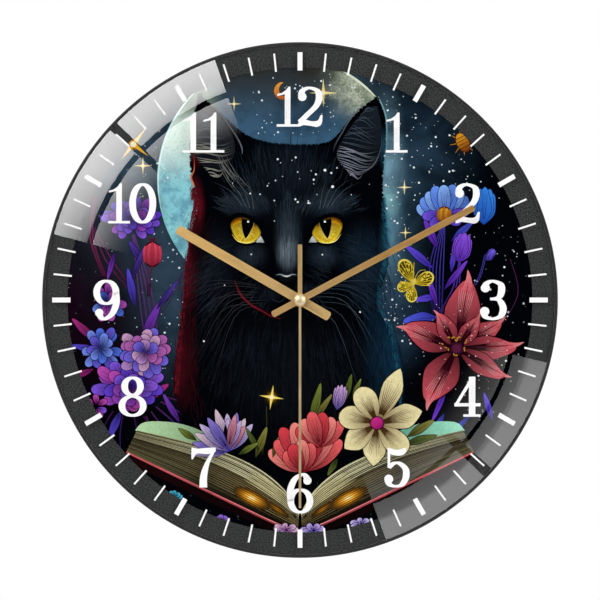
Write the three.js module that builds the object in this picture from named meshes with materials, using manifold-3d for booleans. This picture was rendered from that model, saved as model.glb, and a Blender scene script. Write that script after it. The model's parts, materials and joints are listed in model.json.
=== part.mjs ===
// A round wall clock: a domed glass over a printed dial in a black back shell, three hands, and a
// battery quartz movement with its whole gear train behind them.
// Units are millimetres. Pieces are drawn with x to the right, y up and z out of the wall, and the
// whole group is then turned so that the dial faces -Y and up is +Z. The origin is on the wall, on
// the axis of the hands.
import * as THREE from "three";
import { mergeVertices } from "three/addons/utils/BufferGeometryUtils.js";
import Module from "manifold-3d";

const wasm = await Module();
wasm.setup();

// ---------------------------------------------------------------- driving dimensions

// Shell, dial and glass
const CLOCK_RADIUS = 150;
const LIP_WALL = 1.4; // width of the black edge round the glass
const LIP_DROP = 0.5; // the glass edge stands this much proud of the lip
const SHELL_THICKNESS = 1.8;
const SHELL_CHAMFER = 0.6;
const RIB_COUNT = 8;
const RIB_WIDTH = 1.6;
const RIB_HEIGHT = 2;
const RIB_INNER = 44; // radius where the stiffening ribs start
const RIB_INSET = 12; // from the clock's edge to the ring that joins the ribs
const CUSHION_RADIUS = 18;
const CUSHION_THICKNESS = 0.9;
const TAPE_WIDTH = 9;
const TAPE_INSET = 6; // from the clock's edge to the tape's outer edge
const TAPE_THICKNESS = 0.3;
const DIAL_THICKNESS = 0.6;
const GLASS_EDGE = 2.2; // thickness of the glass at its rim
const DOME_RISE = 4.2; // how much thicker the glass is at its centre
const DOME_POWER = 4; // the dome falls away with this power of the radius
const DOME_STEPS = 6;
const PAD_RADIUS = 7;
const PAD_INSET = 24; // from the clock's edge to a pad's centre
const PAD_ANGLES = { left: 225, right: 315 };

// Centre post that clamps the movement to the dial
const POST_RADIUS = 4;
const POST_ABOVE_NUT = 0.5;
const FLANGE_WIDTH = 1.6; // the flange and the washer reach this far past the post
const FLANGE_THICKNESS = 0.7;
const NUT_WALL = 1; // from the post to each of the nut's flats
const NUT_THICKNESS = 1.8;
const WASHER_THICKNESS = 0.3;

// Hands: length from the axis to the tip, tail the other way, clockwise angle from twelve
const HAND_SHEET = 0.5;
const HUB_THICKNESS = 1;
const HUB_WALL = 0.8; // metal round the hole of the hour and minute hands
const HAND_CLEARANCE = 1.2; // between one hand's hub and the next one's
const HOUR_HAND = { length: 82, tail: 19.7, width: 5.4, angle: 300 };
const MINUTE_HAND = { length: 114, tail: 18.2, width: 3.7, angle: 62 };
const SECOND_HAND = { length: 120, tail: 32, width: 1.4, tailWidth: 2.5, hub: 2.4, angle: 180 };
const CAP_RADIUS = 3.5;
const CAP_HEIGHT = 2.2;

// Movement case
const CASE_WALL = 1.4;
const CASE_FRONT_WALL = 1.3;
const CASE_CORNER = 4;
const COVER_THICKNESS = 1.4;
const PARTITION = 0.8; // wall between the battery bay and the gears
const BOSS_RADIUS = 1.6;
const BOSS_HEIGHT = 2.2;
const PEG_RADIUS = 1.2;
const FINGER_NOTCH = { halfWidth: 8, depth: 6 };

// Hanger
const HANGER_HALF_WIDTH = 9;
const HANGER_THICKNESS = 1.2;
const HANGER_GRIP = 6; // length held inside the case
const HANGER_REACH = 14; // length standing out of the case
const LOOP_WIDTH = 10;
const LOOP_HEIGHT = 8;
const LOOP_CORNER = 2;
const LOOP_RIM = 3; // metal left above the loop

// Battery, size AA
const BATTERY_RADIUS = 7.25;
const BATTERY_LENGTH = 50.5;
const BATTERY_NUB_RADIUS = 2.75;
const BATTERY_NUB_LENGTH = 1.3;
const BATTERY_EDGE = 0.8;
const BATTERY_REST = 0.5; // the battery lies this far inside the back of the case
const CONTACT_SPACE = 1.35; // room for a contact at each end
const CONTACT_SHEET = 0.4;
const CONTACT_STRIP = 1.6; // width of the strips that run to the circuit board

// Gears
const TRAIN_MODULE = 0.35;
const CANNON_MODULE = 0.5; // cannon pinion, transfer wheel and setting pinion
const HOUR_MODULE = 0.4; // transfer pinion and hour wheel
const TEETH = {
  rotor: 10,
  intermediateWheel: 50,
  intermediatePinion: 10,
  secondsWheel: 60,
  secondsPinion: 8,
  thirdWheel: 60,
  thirdPinion: 8,
  minuteDriveWheel: 64,
  cannonPinion: 10,
  transferWheel: 30,
  transferPinion: 10,
  hourWheel: 40,
  settingPinion: 12,
};
const ADDENDUM = 0.75; // tooth height above the pitch circle, in modules
const DEDENDUM = 1; // tooth depth below it, in modules
const TIP_HALF = 0.1; // half the tooth's width at its tip, in pitches
const ROOT_HALF = 0.26; // half its width at the root
const INTERMEDIATE_ANGLE = 135; // where each arbor stands round the one it meshes with
const ROTOR_ANGLE = 165;
const THIRD_ANGLE = 45;
const TRANSFER_ANGLE = 0;
const SETTING_ANGLE = -20;
const PILLAR_ANGLES = { lowerLeft: 215, left: 160, upperRight: 37, lowerRight: -55 };
const WHEEL_THICKNESS = 1;
const WHEEL_HOLES = 4;
const WHEEL_HOLE_ORBIT = 0.62; // share of the wheel's root radius
const WHEEL_HOLE_SIZE = 0.2; // share of the wheel's root radius
const ARBOR_RADIUS = 0.5;
const CANNON_PIPE_RADIUS = 1.8;
const HOUR_PIPE_RADIUS = 2.6;
const STUD_RADIUS = 0.9;
const SETTING_SHAFT_RADIUS = 1.5;
const KNOB_RADIUS = 4.8;
const KNOB_THICKNESS = 3;
const KNOB_RECESS = 0.5;
const KNOB_NOTCHES = 14;
const KNOB_NOTCH_RADIUS = 0.48;
const BELOW_TRAIN = 3; // room between the cover and the lowest wheel
const TRAIN_GAP = 0.8; // between wheels of the going train
const LEVEL_GAP = 0.3; // between the other levels
const BRIDGE_THICKNESS = 0.9;
const BRIDGE_ARM = 2.1; // half-width of a bridge arm
const PILLAR_RADIUS = 1.6;
const CLUTCH_RADIUS = 2.2;

// Stepping motor and electronics
const MAGNET_RADIUS = 2.9;
const MAGNET_HEIGHT = 2.4;
const STATOR_THICKNESS = 1;
const STATOR_ARM = 3.4;
const STATOR_EYE = 5.2; // radius of the stator round the magnet
const STATOR_GAP = 0.4; // between the magnet and the stator
const COIL_RADIUS = 3;
const COIL_LENGTH = 18;
const FLANGE_STEP = 0.3; // the bobbin's end flanges are this much larger than the winding
const BOBBIN_FLANGE = 0.7;
const BOBBIN_TUBE = 1.9;
const CORE_WIDTH = 2;
const CORE_THICKNESS = 1.1;
const CORE_LIFT = 0.25; // the coil's axis is this far above the third wheel's underside
const BOARD_THICKNESS = 1;
const CHIP_RADIUS = 2.4;
const CHIP_HEIGHT = 1;
const CRYSTAL_RADIUS = 1;
const CRYSTAL_LENGTH = 6;

// Clearances
const FACE_GAP = 0.1; // between two faces that rest on each other
const FIT = 0.2; // round a piece that drops into a recess
const RUNNING = 0.1; // between an arbor or a pipe and its hole
const PRESS = 0.05; // between a hand or tube and the pipe it grips
const ROOM = 0.3; // between moving pieces and what stands beside them

// Sides of a round shape, by its size
const SIDES = { large: 72, medium: 28, small: 16, fine: 10, coarse: 6 };

// ---------------------------------------------------------------- levels above the wall

const level = {};
level.intermediate = COVER_THICKNESS + BELOW_TRAIN;
level.seconds = level.intermediate + WHEEL_THICKNESS + TRAIN_GAP;
level.third = level.seconds + WHEEL_THICKNESS + TRAIN_GAP;
level.bridge = level.third + WHEEL_THICKNESS + LEVEL_GAP;
level.minuteDrive = level.bridge + BRIDGE_THICKNESS + LEVEL_GAP;
level.cannon = level.minuteDrive + WHEEL_THICKNESS + LEVEL_GAP;
level.hour = level.cannon + WHEEL_THICKNESS + LEVEL_GAP;
level.flange = level.hour + WHEEL_THICKNESS + LEVEL_GAP;
level.battery = BATTERY_REST + BATTERY_RADIUS;
level.caseFrontInside = Math.max(
  level.flange + FLANGE_THICKNESS + FACE_GAP,
  level.battery + BATTERY_RADIUS + FIT,
);
level.caseFront = level.caseFrontInside + CASE_FRONT_WALL;
level.cushion = level.caseFront + FACE_GAP;
level.shell = level.cushion + CUSHION_THICKNESS + FACE_GAP;
level.shellFront = level.shell + SHELL_THICKNESS;
level.tape = level.shellFront + FACE_GAP;
level.dial = level.tape + TAPE_THICKNESS + FACE_GAP;
level.glass = level.dial + DIAL_THICKNESS + FACE_GAP;
level.glassEdge = level.glass + GLASS_EDGE;
level.glassTop = level.glassEdge + DOME_RISE;
level.washer = level.glassTop + FACE_GAP;
level.nut = level.washer + WASHER_THICKNESS + FACE_GAP;
level.postTop = level.nut + NUT_THICKNESS + POST_ABOVE_NUT;
level.hourHand = level.postTop + ROOM;
level.minuteHand = level.hourHand + HUB_THICKNESS + HAND_CLEARANCE;
level.secondHand = level.minuteHand + HUB_THICKNESS + HAND_CLEARANCE;
level.cap = level.secondHand + HAND_SHEET + FACE_GAP;
level.arborFoot = COVER_THICKNESS + FIT + FACE_GAP;
level.board = COVER_THICKNESS + HANGER_THICKNESS + 2 * FIT + 2 * FACE_GAP;
level.strip = COVER_THICKNESS + FIT;
level.coil = level.third + CORE_LIFT;
level.stator = level.coil - CORE_THICKNESS / 2 - FACE_GAP - STATOR_THICKNESS;

// ---------------------------------------------------------------- places in the movement

const radians = THREE.MathUtils.degToRad;

// The point at a distance and an angle from another point.
function polar(from, distance, degrees) {
  const angle = radians(degrees);
  return new THREE.Vector2(
    from.x + distance * Math.cos(angle),
    from.y + distance * Math.sin(angle),
  );
}

// Half the sum of two tooth counts, in modules, is the distance between two meshing gears.
function meshDistance(teethA, teethB, module) {
  return ((teethA + teethB) / 2) * module;
}

const tipRadius = (teeth, module) => module * (teeth / 2 + ADDENDUM);

const centre = new THREE.Vector2(0, 0);
const secondsDistance = meshDistance(TEETH.intermediatePinion, TEETH.secondsWheel, TRAIN_MODULE);
const thirdDistance = meshDistance(TEETH.secondsPinion, TEETH.thirdWheel, TRAIN_MODULE);
const rotorDistance = meshDistance(TEETH.rotor, TEETH.intermediateWheel, TRAIN_MODULE);
const transferDistance = meshDistance(TEETH.cannonPinion, TEETH.transferWheel, CANNON_MODULE);
const settingDistance = meshDistance(TEETH.transferWheel, TEETH.settingPinion, CANNON_MODULE);
// The third pinion and the minute drive wheel share the third wheel's distance.
const minuteModule = (2 * thirdDistance) / (TEETH.thirdPinion + TEETH.minuteDriveWheel);

const intermediateAt = polar(centre, secondsDistance, INTERMEDIATE_ANGLE);
const rotorAt = polar(intermediateAt, rotorDistance, ROTOR_ANGLE);
const thirdAt = polar(centre, thirdDistance, THIRD_ANGLE);
const transferAt = polar(centre, transferDistance, TRANSFER_ANGLE);
const settingAt = polar(transferAt, settingDistance, SETTING_ANGLE);

const secondsTip = tipRadius(TEETH.secondsWheel, TRAIN_MODULE);
const minuteTip = tipRadius(TEETH.minuteDriveWheel, minuteModule);
const transferTip = tipRadius(TEETH.transferWheel, CANNON_MODULE);
const knobHole = KNOB_RADIUS + ROOM;

// The pillars that carry the bridge stand just clear of the wheels.
const pillarRoom = PILLAR_RADIUS + 2 * ROOM;
const pillarAt = [
  polar(centre, minuteTip + pillarRoom + PILLAR_RADIUS, PILLAR_ANGLES.lowerLeft),
  polar(centre, minuteTip + pillarRoom + PILLAR_RADIUS, PILLAR_ANGLES.left),
  polar(thirdAt, secondsTip - ROOM, PILLAR_ANGLES.upperRight),
  polar(transferAt, transferTip + pillarRoom, PILLAR_ANGLES.lowerRight),
];

// The battery bay starts below the lowest piece of the gear train, and the case is as tall above
// the axis as below it.
const trainBottom = Math.min(
  -secondsTip,
  settingAt.y - knobHole - ROOM,
  ...pillarAt.map((at) => at.y - BRIDGE_ARM),
);
const partitionTop = trainBottom - ROOM;
const partitionBottom = partitionTop - PARTITION;
const batteryY = partitionBottom - FACE_GAP - BATTERY_RADIUS;
const insideHeight = -(batteryY - BATTERY_RADIUS - FIT);
const insideWidth = Math.max(
  BATTERY_LENGTH / 2 + CONTACT_SPACE,
  STATOR_EYE - rotorAt.x + ROOM,
  settingAt.x + knobHole + 2 * ROOM + CONTACT_SHEET,
);
const caseHalfWidth = insideWidth + CASE_WALL;
const caseHalfHeight = insideHeight + CASE_WALL;

const coilFlange = COIL_RADIUS + FLANGE_STEP;
const coilY = insideHeight - coilFlange - 2 * ROOM;
const coilLeft = -insideWidth + STATOR_ARM + 4 * ROOM;
const coilRight = coilLeft + COIL_LENGTH;
const hangerTop = caseHalfHeight + HANGER_REACH;

// ---------------------------------------------------------------- geometry helpers

// A closed geometry as a manifold-3d solid, with its seams merged and folded triangles left out.
function solidOf(geometry) {
  let mesh = geometry;
  if (!geometry.userData.closed) {
    mesh = geometry.index ? geometry.toNonIndexed() : geometry.clone();
    mesh.deleteAttribute("normal");
    mesh.deleteAttribute("uv");
    mesh = mergeVertices(mesh, 1e-4);
  }
  const corners = [...mesh.index.array];
  const kept = [];
  for (let i = 0; i < corners.length; i += 3) {
    const [a, b, c] = corners.slice(i, i + 3);
    if (a !== b && b !== c && c !== a) kept.push(a, b, c);
  }
  return new wasm.Manifold(
    new wasm.Mesh({
      numProp: 3,
      vertProperties: new Float32Array(mesh.attributes.position.array),
      triVerts: new Uint32Array(kept),
    }),
  );
}

// A manifold-3d solid back as a three.js geometry.
function geometryOf(solid) {
  const mesh = solid.getMesh();
  const geometry = new THREE.BufferGeometry();
  geometry.setAttribute("position", new THREE.BufferAttribute(mesh.vertProperties, mesh.numProp));
  geometry.setIndex(new THREE.BufferAttribute(mesh.triVerts, 1));
  geometry.userData.closed = true;
  return geometry;
}

function join(...pieces) {
  return geometryOf(pieces.map(solidOf).reduce((sum, piece) => sum.add(piece)));
}

function cut(body, ...tools) {
  return geometryOf(tools.map(solidOf).reduce((rest, tool) => rest.subtract(tool), solidOf(body)));
}

function common(a, b) {
  return geometryOf(solidOf(a).intersect(solidOf(b)));
}

// A solid turned about the z axis from a closed outline of [radius, z] points.
function turned(outline, sides) {
  const points = [...outline, outline[0]].map(([radius, z]) => new THREE.Vector2(radius, z));
  if (THREE.ShapeUtils.area(points) < 0) points.reverse();
  return geometryOf(solidOf(new THREE.LatheGeometry(points, sides).rotateX(Math.PI / 2)));
}

function ring(inner, outer, bottom, top, sides) {
  const outline = [
    [inner, bottom],
    [outer, bottom],
    [outer, top],
    [inner, top],
  ];
  return turned(outline, sides);
}

const rod = (radius, bottom, top, sides) => ring(0, radius, bottom, top, sides);

function rodAt(at, radius, bottom, top, sides = SIDES.fine) {
  return rod(radius, bottom, top, sides).translate(at.x, at.y, 0);
}

// A flat plate cut to a shape.
function plate(shape, bottom, top, curveSegments = 8) {
  const settings = { depth: top - bottom, bevelEnabled: false, curveSegments };
  return new THREE.ExtrudeGeometry(shape, settings).translate(0, 0, bottom);
}

function block(left, right, low, high, bottom, top) {
  const size = [right - left, high - low, top - bottom];
  return new THREE.BoxGeometry(...size).translate(
    (left + right) / 2,
    (low + high) / 2,
    (bottom + top) / 2,
  );
}

function roundedRectangle(left, right, low, high, radius) {
  const shape = new THREE.Shape();
  shape.absarc(right - radius, high - radius, radius, 0, Math.PI / 2);
  shape.absarc(left + radius, high - radius, radius, Math.PI / 2, Math.PI);
  shape.absarc(left + radius, low + radius, radius, Math.PI, 1.5 * Math.PI);
  shape.absarc(right - radius, low + radius, radius, 1.5 * Math.PI, 2 * Math.PI);
  return shape;
}

// A bar with round ends from one point to another.
function bar(from, to, halfWidth, bottom, top) {
  const angle = Math.atan2(to.y - from.y, to.x - from.x);
  const shape = new THREE.Shape();
  shape.absarc(0, 0, halfWidth, Math.PI / 2, 1.5 * Math.PI);
  shape.absarc(from.distanceTo(to), 0, halfWidth, -Math.PI / 2, Math.PI / 2);
  return plate(shape, bottom, top, 6).rotateZ(angle).translate(from.x, from.y, 0);
}

// Outline of a gear with straight-flanked teeth, one tooth centred on +x.
function gearShape(teeth, module, withHoles = false) {
  const root = module * (teeth / 2 - DEDENDUM);
  const tip = tipRadius(teeth, module);
  const tooth = [
    [root, -ROOT_HALF],
    [tip, -TIP_HALF],
    [tip, TIP_HALF],
    [root, ROOT_HALF],
  ];
  const points = [];
  for (let i = 0; i < teeth; i++) {
    for (const [radius, side] of tooth) {
      points.push(polar(centre, radius, ((i + side) * 360) / teeth));
    }
  }
  const shape = new THREE.Shape(points);
  if (withHoles) {
    for (let i = 0; i < WHEEL_HOLES; i++) {
      const at = polar(centre, WHEEL_HOLE_ORBIT * root, ((i + 0.5) * 360) / WHEEL_HOLES);
      const hole = new THREE.Path();
      shape.holes.push(hole.absarc(at.x, at.y, WHEEL_HOLE_SIZE * root, 0, 2 * Math.PI));
    }
  }
  return shape;
}

function wheelPlate(teeth, module, bottom) {
  return plate(gearShape(teeth, module, true), bottom, bottom + WHEEL_THICKNESS, 5);
}

function pinionPlate(teeth, module, bottom, top) {
  return plate(gearShape(teeth, module), bottom, top);
}

// The turn that puts gear B in mesh with gear A: a tooth of B then stands in a gap of A.
function meshTurn(turnA, teethA, teethB, fromA, toB) {
  const direction = Math.atan2(toB.y - fromA.y, toB.x - fromA.x);
  return direction + Math.PI + Math.PI / teethB - ((turnA - direction) * teethA) / teethB;
}

// ---------------------------------------------------------------- the group and its finishes

const clock = new THREE.Group();
clock.name = "wall_clock";

const LOOKS = {
  blackPlastic: { color: "#151515", roughness: 0.55, metalness: 0 },
  darkPlastic: { color: "#1d1e20", roughness: 0.6, metalness: 0 },
  blackRubber: { color: "#17171a", roughness: 0.9, metalness: 0 },
  whiteTape: { color: "#e9e7e0", roughness: 0.9, metalness: 0 },
  printedCard: { color: "#1a2433", roughness: 0.7, metalness: 0 },
  clearGlass: { color: "#dfe8ea", roughness: 0.03, metalness: 0 },
  greyFoam: { color: "#2b2b2e", roughness: 0.95, metalness: 0 },
  brass: { color: "#b8924f", roughness: 0.3, metalness: 1 },
  blackSteel: { color: "#1c1c1d", roughness: 0.4, metalness: 0.8 },
  brightSteel: { color: "#b9bcc0", roughness: 0.3, metalness: 1 },
  softIron: { color: "#8f9296", roughness: 0.45, metalness: 1 },
  magnet: { color: "#3a3b3e", roughness: 0.5, metalness: 0.6 },
  goldHand: { color: "#d0a868", roughness: 0.35, metalness: 0.8 },
  whiteNylon: { color: "#ece9e1", roughness: 0.5, metalness: 0 },
  redNylon: { color: "#b5413a", roughness: 0.5, metalness: 0 },
  blueNylon: { color: "#4b78ad", roughness: 0.5, metalness: 0 },
  copper: { color: "#b4632f", roughness: 0.35, metalness: 0.9 },
  greenBoard: { color: "#1f5a3a", roughness: 0.6, metalness: 0 },
  blackResin: { color: "#101012", roughness: 0.35, metalness: 0 },
  batteryLabel: { color: "#46525e", roughness: 0.4, metalness: 0.2 },
};

// Adds a named mesh with its own finish, placed on an axis and turned about it.
function add(name, geometry, look, at = centre, turn = 0) {
  const mesh = new THREE.Mesh(geometry, new THREE.MeshStandardMaterial(LOOKS[look]));
  mesh.name = name;
  mesh.position.set(at.x, at.y, 0);
  mesh.rotation.z = turn;
  clock.add(mesh);
}

// ---------------------------------------------------------------- shell, dial and glass

const postHole = POST_RADIUS + FIT;
const glassRadius = CLOCK_RADIUS - LIP_WALL - FIT;

function backShell() {
  const lipTop = level.glassEdge - LIP_DROP;
  const pan = turned(
    [
      [postHole, level.shell],
      [CLOCK_RADIUS - SHELL_CHAMFER, level.shell],
      [CLOCK_RADIUS, level.shell + SHELL_CHAMFER],
      [CLOCK_RADIUS, lipTop],
      [CLOCK_RADIUS - LIP_WALL, lipTop],
      [CLOCK_RADIUS - LIP_WALL, level.shellFront],
      [postHole, level.shellFront],
    ],
    SIDES.large,
  );
  const ribTop = level.shell + SHELL_THICKNESS / 2;
  const ribBottom = level.shell - RIB_HEIGHT;
  const ringRadius = CLOCK_RADIUS - RIB_INSET;
  const ribs = [ring(ringRadius - RIB_WIDTH, ringRadius, ribBottom, ribTop, SIDES.large)];
  for (let i = 0; i < RIB_COUNT; i++) {
    const rib = block(
      RIB_INNER,
      ringRadius - RIB_WIDTH / 2,
      -RIB_WIDTH / 2,
      RIB_WIDTH / 2,
      ribBottom,
      ribTop,
    );
    ribs.push(rib.rotateZ(((i + 0.5) / RIB_COUNT) * 2 * Math.PI));
  }
  return join(pan, ...ribs);
}

function domedGlass() {
  const outline = [
    [postHole, level.glass],
    [glassRadius, level.glass],
  ];
  for (let i = 0; i <= DOME_STEPS; i++) {
    const radius = glassRadius + ((postHole - glassRadius) * i) / DOME_STEPS;
    const share = radius / glassRadius;
    outline.push([radius, level.glassEdge + DOME_RISE * (1 - share ** DOME_POWER)]);
  }
  return turned(outline, SIDES.large);
}

function addShellDialAndGlass() {
  const tapeOuter = CLOCK_RADIUS - TAPE_INSET;
  const tape = [tapeOuter - TAPE_WIDTH, tapeOuter, level.tape, level.tape + TAPE_THICKNESS];
  const dial = [postHole, glassRadius, level.dial, level.dial + DIAL_THICKNESS];
  const cushion = [postHole, CUSHION_RADIUS, level.cushion, level.cushion + CUSHION_THICKNESS];
  add("back_shell", backShell(), "blackPlastic");
  add("tape_ring", ring(...tape, SIDES.large), "whiteTape");
  add("dial_print", ring(...dial, SIDES.large), "printedCard");
  add("glass_lens", domedGlass(), "clearGlass");
  add("cushion_ring", ring(...cushion, SIDES.medium), "blackRubber");
  for (const [side, angle] of Object.entries(PAD_ANGLES)) {
    const at = polar(centre, CLOCK_RADIUS - PAD_INSET, angle);
    const pad = rod(PAD_RADIUS, 0, level.shell - FACE_GAP, SIDES.small);
    add("wall_pad_" + side, pad, "greyFoam", at);
  }
}

// ---------------------------------------------------------------- centre post, washer and nut

function threadedPost() {
  const bore = HOUR_PIPE_RADIUS + RUNNING;
  const bevel = (POST_RADIUS - bore) / 4;
  const flange = POST_RADIUS + FLANGE_WIDTH;
  return turned(
    [
      [bore, level.flange],
      [flange, level.flange],
      [flange, level.flange + FLANGE_THICKNESS],
      [POST_RADIUS, level.flange + FLANGE_THICKNESS],
      [POST_RADIUS, level.postTop - bevel],
      [POST_RADIUS - bevel, level.postTop],
      [bore, level.postTop],
    ],
    SIDES.medium,
  );
}

function hexNut() {
  const hexRadius = (2 * (POST_RADIUS + NUT_WALL)) / Math.sqrt(3);
  const top = level.nut + NUT_THICKNESS;
  const hexagon = rod(hexRadius, level.nut, top, 6);
  return cut(hexagon, rod(POST_RADIUS + RUNNING, level.nut - 1, top + 1, SIDES.medium));
}

function addCentrePost() {
  const washerOuter = POST_RADIUS + FLANGE_WIDTH;
  const washer = [POST_RADIUS + RUNNING, washerOuter, level.washer, level.washer + WASHER_THICKNESS];
  add("threaded_post", threadedPost(), "brass");
  add("nut_washer", ring(...washer, SIDES.medium), "blackSteel");
  add("post_nut", hexNut(), "blackSteel");
}

// ---------------------------------------------------------------- hands

const clockwise = (degrees) => -radians(degrees);

// A stamped hand pointing up the y axis, with a round hub that grips its pipe.
function hand({ length, tail, width }, bottom, pipeRadius) {
  const half = width / 2;
  const hub = pipeRadius + HUB_WALL;
  const sheet = bottom + (HUB_THICKNESS - HAND_SHEET) / 2;
  const tip = new THREE.Vector2(0, length - half);
  const tailEnd = new THREE.Vector2(0, half - tail);
  const blade = bar(tailEnd, tip, half, sheet, sheet + HAND_SHEET);
  const boss = rod(hub, bottom, bottom + HUB_THICKNESS, SIDES.medium);
  const hole = rod(pipeRadius + PRESS, bottom - 1, bottom + HUB_THICKNESS + 1, SIDES.medium);
  return cut(join(blade, boss), hole);
}

// The second hand is a thin pointer with a wider tail, and has no hole: its tube is fixed below.
function secondHand() {
  const { length, tail, width, tailWidth, hub } = SECOND_HAND;
  const levels = [level.secondHand, level.secondHand + HAND_SHEET];
  const tip = new THREE.Vector2(0, length - width / 2);
  const tailEnd = new THREE.Vector2(0, tailWidth / 2 - tail);
  return join(
    bar(centre, tip, width / 2, ...levels),
    bar(tailEnd, centre, tailWidth / 2, ...levels),
    rod(hub, ...levels, SIDES.small),
  );
}

function domeCap() {
  const outline = [[0, level.cap]];
  const steps = 6;
  for (let i = 0; i <= steps; i++) {
    const angle = (i / steps) * (Math.PI / 2);
    outline.push([CAP_RADIUS * Math.cos(angle), level.cap + CAP_HEIGHT * Math.sin(angle)]);
  }
  outline[outline.length - 1][0] = 0;
  return turned(outline, SIDES.small);
}

// The second hand's tube: open below for the arbor, closed on top under the hand.
function secondTube() {
  const bottom = level.minuteHand + HUB_THICKNESS + ROOM;
  const top = level.secondHand - FACE_GAP;
  const bore = ARBOR_RADIUS + PRESS;
  return turned(
    [
      [bore, bottom],
      [2 * bore, bottom],
      [2 * bore, top],
      [0, top],
      [0, top - ROOM / 2],
      [bore, top - ROOM / 2],
    ],
    SIDES.fine,
  );
}

function addHands() {
  const hourHand = hand(HOUR_HAND, level.hourHand, HOUR_PIPE_RADIUS);
  const minuteHand = hand(MINUTE_HAND, level.minuteHand, CANNON_PIPE_RADIUS);
  add("hour_hand", hourHand, "goldHand", centre, clockwise(HOUR_HAND.angle));
  add("minute_hand", minuteHand, "goldHand", centre, clockwise(MINUTE_HAND.angle));
  add("second_hand", secondHand(), "goldHand", centre, clockwise(SECOND_HAND.angle));
  add("second_hand_tube", secondTube(), "brass");
  add("second_hand_cap", domeCap(), "brass");
}

// ---------------------------------------------------------------- movement case

// The front half of the case: a tray that opens to the wall, with a partition above the battery.
function caseFront() {
  const outer = roundedRectangle(
    -caseHalfWidth,
    caseHalfWidth,
    -caseHalfHeight,
    caseHalfHeight,
    CASE_CORNER,
  );
  const inside = block(-insideWidth, insideWidth, -insideHeight, insideHeight, -1, level.caseFrontInside);
  const tray = cut(plate(outer, 0, level.caseFront), inside);
  const rootTop = level.caseFrontInside + CASE_FRONT_WALL / 2;
  const reach = insideWidth + CASE_WALL / 2;
  const pillarBottom = level.bridge + BRIDGE_THICKNESS + FACE_GAP;
  const solids = [
    block(-reach, reach, partitionBottom, partitionTop, 0, rootTop),
    rodAt(transferAt, STUD_RADIUS, level.cannon - FACE_GAP, rootTop),
    rodAt(settingAt, PEG_RADIUS + CASE_WALL / 2, level.hour + ROOM, rootTop),
    ...pillarAt.map((at) => rodAt(at, PILLAR_RADIUS, pillarBottom, rootTop)),
  ];
  const stripTop = level.strip + 3 * CONTACT_STRIP;
  const stripInner = insideWidth - 3 * CONTACT_SHEET;
  const { halfWidth, depth } = FINGER_NOTCH;
  const notch = HANGER_HALF_WIDTH + FIT;
  const notchDepth = COVER_THICKNESS + HANGER_THICKNESS + 2 * FIT;
  const pivotTop = level.caseFrontInside - FACE_GAP;
  return cut(
    join(tray, ...solids),
    rod(postHole, level.caseFrontInside - 1, level.caseFront + 1, SIDES.medium),
    rodAt(settingAt, STUD_RADIUS + RUNNING, level.hour, pivotTop),
    block(-insideWidth, -stripInner, partitionBottom - 1, partitionTop + 1, -1, stripTop),
    block(stripInner, insideWidth, partitionBottom - 1, partitionTop + 1, -1, stripTop),
    block(-halfWidth, halfWidth, -caseHalfHeight - 1, -insideHeight + FACE_GAP / 2, -1, depth),
    block(-notch, notch, insideHeight - FACE_GAP / 2, caseHalfHeight + 1, -1, notchDepth),
  );
}

// The plain cover that closes the gear side of the case, flush with its rim.
function caseBack() {
  const edge = insideWidth - FIT;
  const sheet = block(-edge, edge, partitionTop + FIT, insideHeight - FIT, 0, COVER_THICKNESS);
  const root = COVER_THICKNESS / 2;
  const bossTop = COVER_THICKNESS + BOSS_HEIGHT;
  const arbors = [centre, intermediateAt, rotorAt, thirdAt];
  const hangerPegTop = COVER_THICKNESS + HANGER_THICKNESS + FIT;
  const raised = [
    ...arbors.map((at) => rodAt(at, BOSS_RADIUS, root, bossTop)),
    ...boardPegs().map((at) => rodAt(at, PEG_RADIUS, root, level.board - FACE_GAP)),
    ...hangerPegs().map((at) => rodAt(at, PEG_RADIUS, root, hangerPegTop)),
  ];
  const sockets = arbors.map((at) =>
    rodAt(at, ARBOR_RADIUS + RUNNING, COVER_THICKNESS + FIT, bossTop + 1),
  );
  const knobOpening = rodAt(settingAt, knobHole, -1, COVER_THICKNESS + 1, SIDES.medium);
  return cut(join(sheet, ...raised), knobOpening, ...sockets);
}

const bridgeArms = [
  [centre, intermediateAt],
  [intermediateAt, rotorAt],
  [centre, thirdAt],
  [thirdAt, pillarAt[2]],
  [centre, pillarAt[0]],
  [centre, pillarAt[1]],
  [centre, pillarAt[3]],
];

function gearBridge() {
  const top = level.bridge + BRIDGE_THICKNESS;
  const arms = bridgeArms.map(([from, to]) => bar(from, to, BRIDGE_ARM, level.bridge, top));
  const holes = [centre, intermediateAt, rotorAt, thirdAt].map((at) =>
    rodAt(at, ARBOR_RADIUS + RUNNING, level.bridge - 1, top + 1),
  );
  return cut(join(...arms), ...holes);
}

function hangerPegs() {
  const y = insideHeight - HANGER_GRIP / 2;
  return [-1, 1].map((side) => new THREE.Vector2((side * 2 * HANGER_HALF_WIDTH) / 3, y));
}

// A flat steel tab held under the cover, with a loop above the case for the nail.
function hangerPlate() {
  const bottom = COVER_THICKNESS + FIT;
  const top = bottom + HANGER_THICKNESS;
  const tab = roundedRectangle(
    -HANGER_HALF_WIDTH,
    HANGER_HALF_WIDTH,
    insideHeight - HANGER_GRIP,
    hangerTop,
    HANGER_HALF_WIDTH / 3,
  );
  const loopTop = hangerTop - LOOP_RIM;
  const loop = roundedRectangle(
    -LOOP_WIDTH / 2,
    LOOP_WIDTH / 2,
    loopTop - LOOP_HEIGHT,
    loopTop,
    LOOP_CORNER,
  );
  const pegHoles = hangerPegs().map((at) => rodAt(at, PEG_RADIUS + FIT, bottom - 1, top + 1));
  return cut(plate(tab, bottom, top, 5), plate(loop, bottom - 1, top + 1, 4), ...pegHoles);
}

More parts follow.
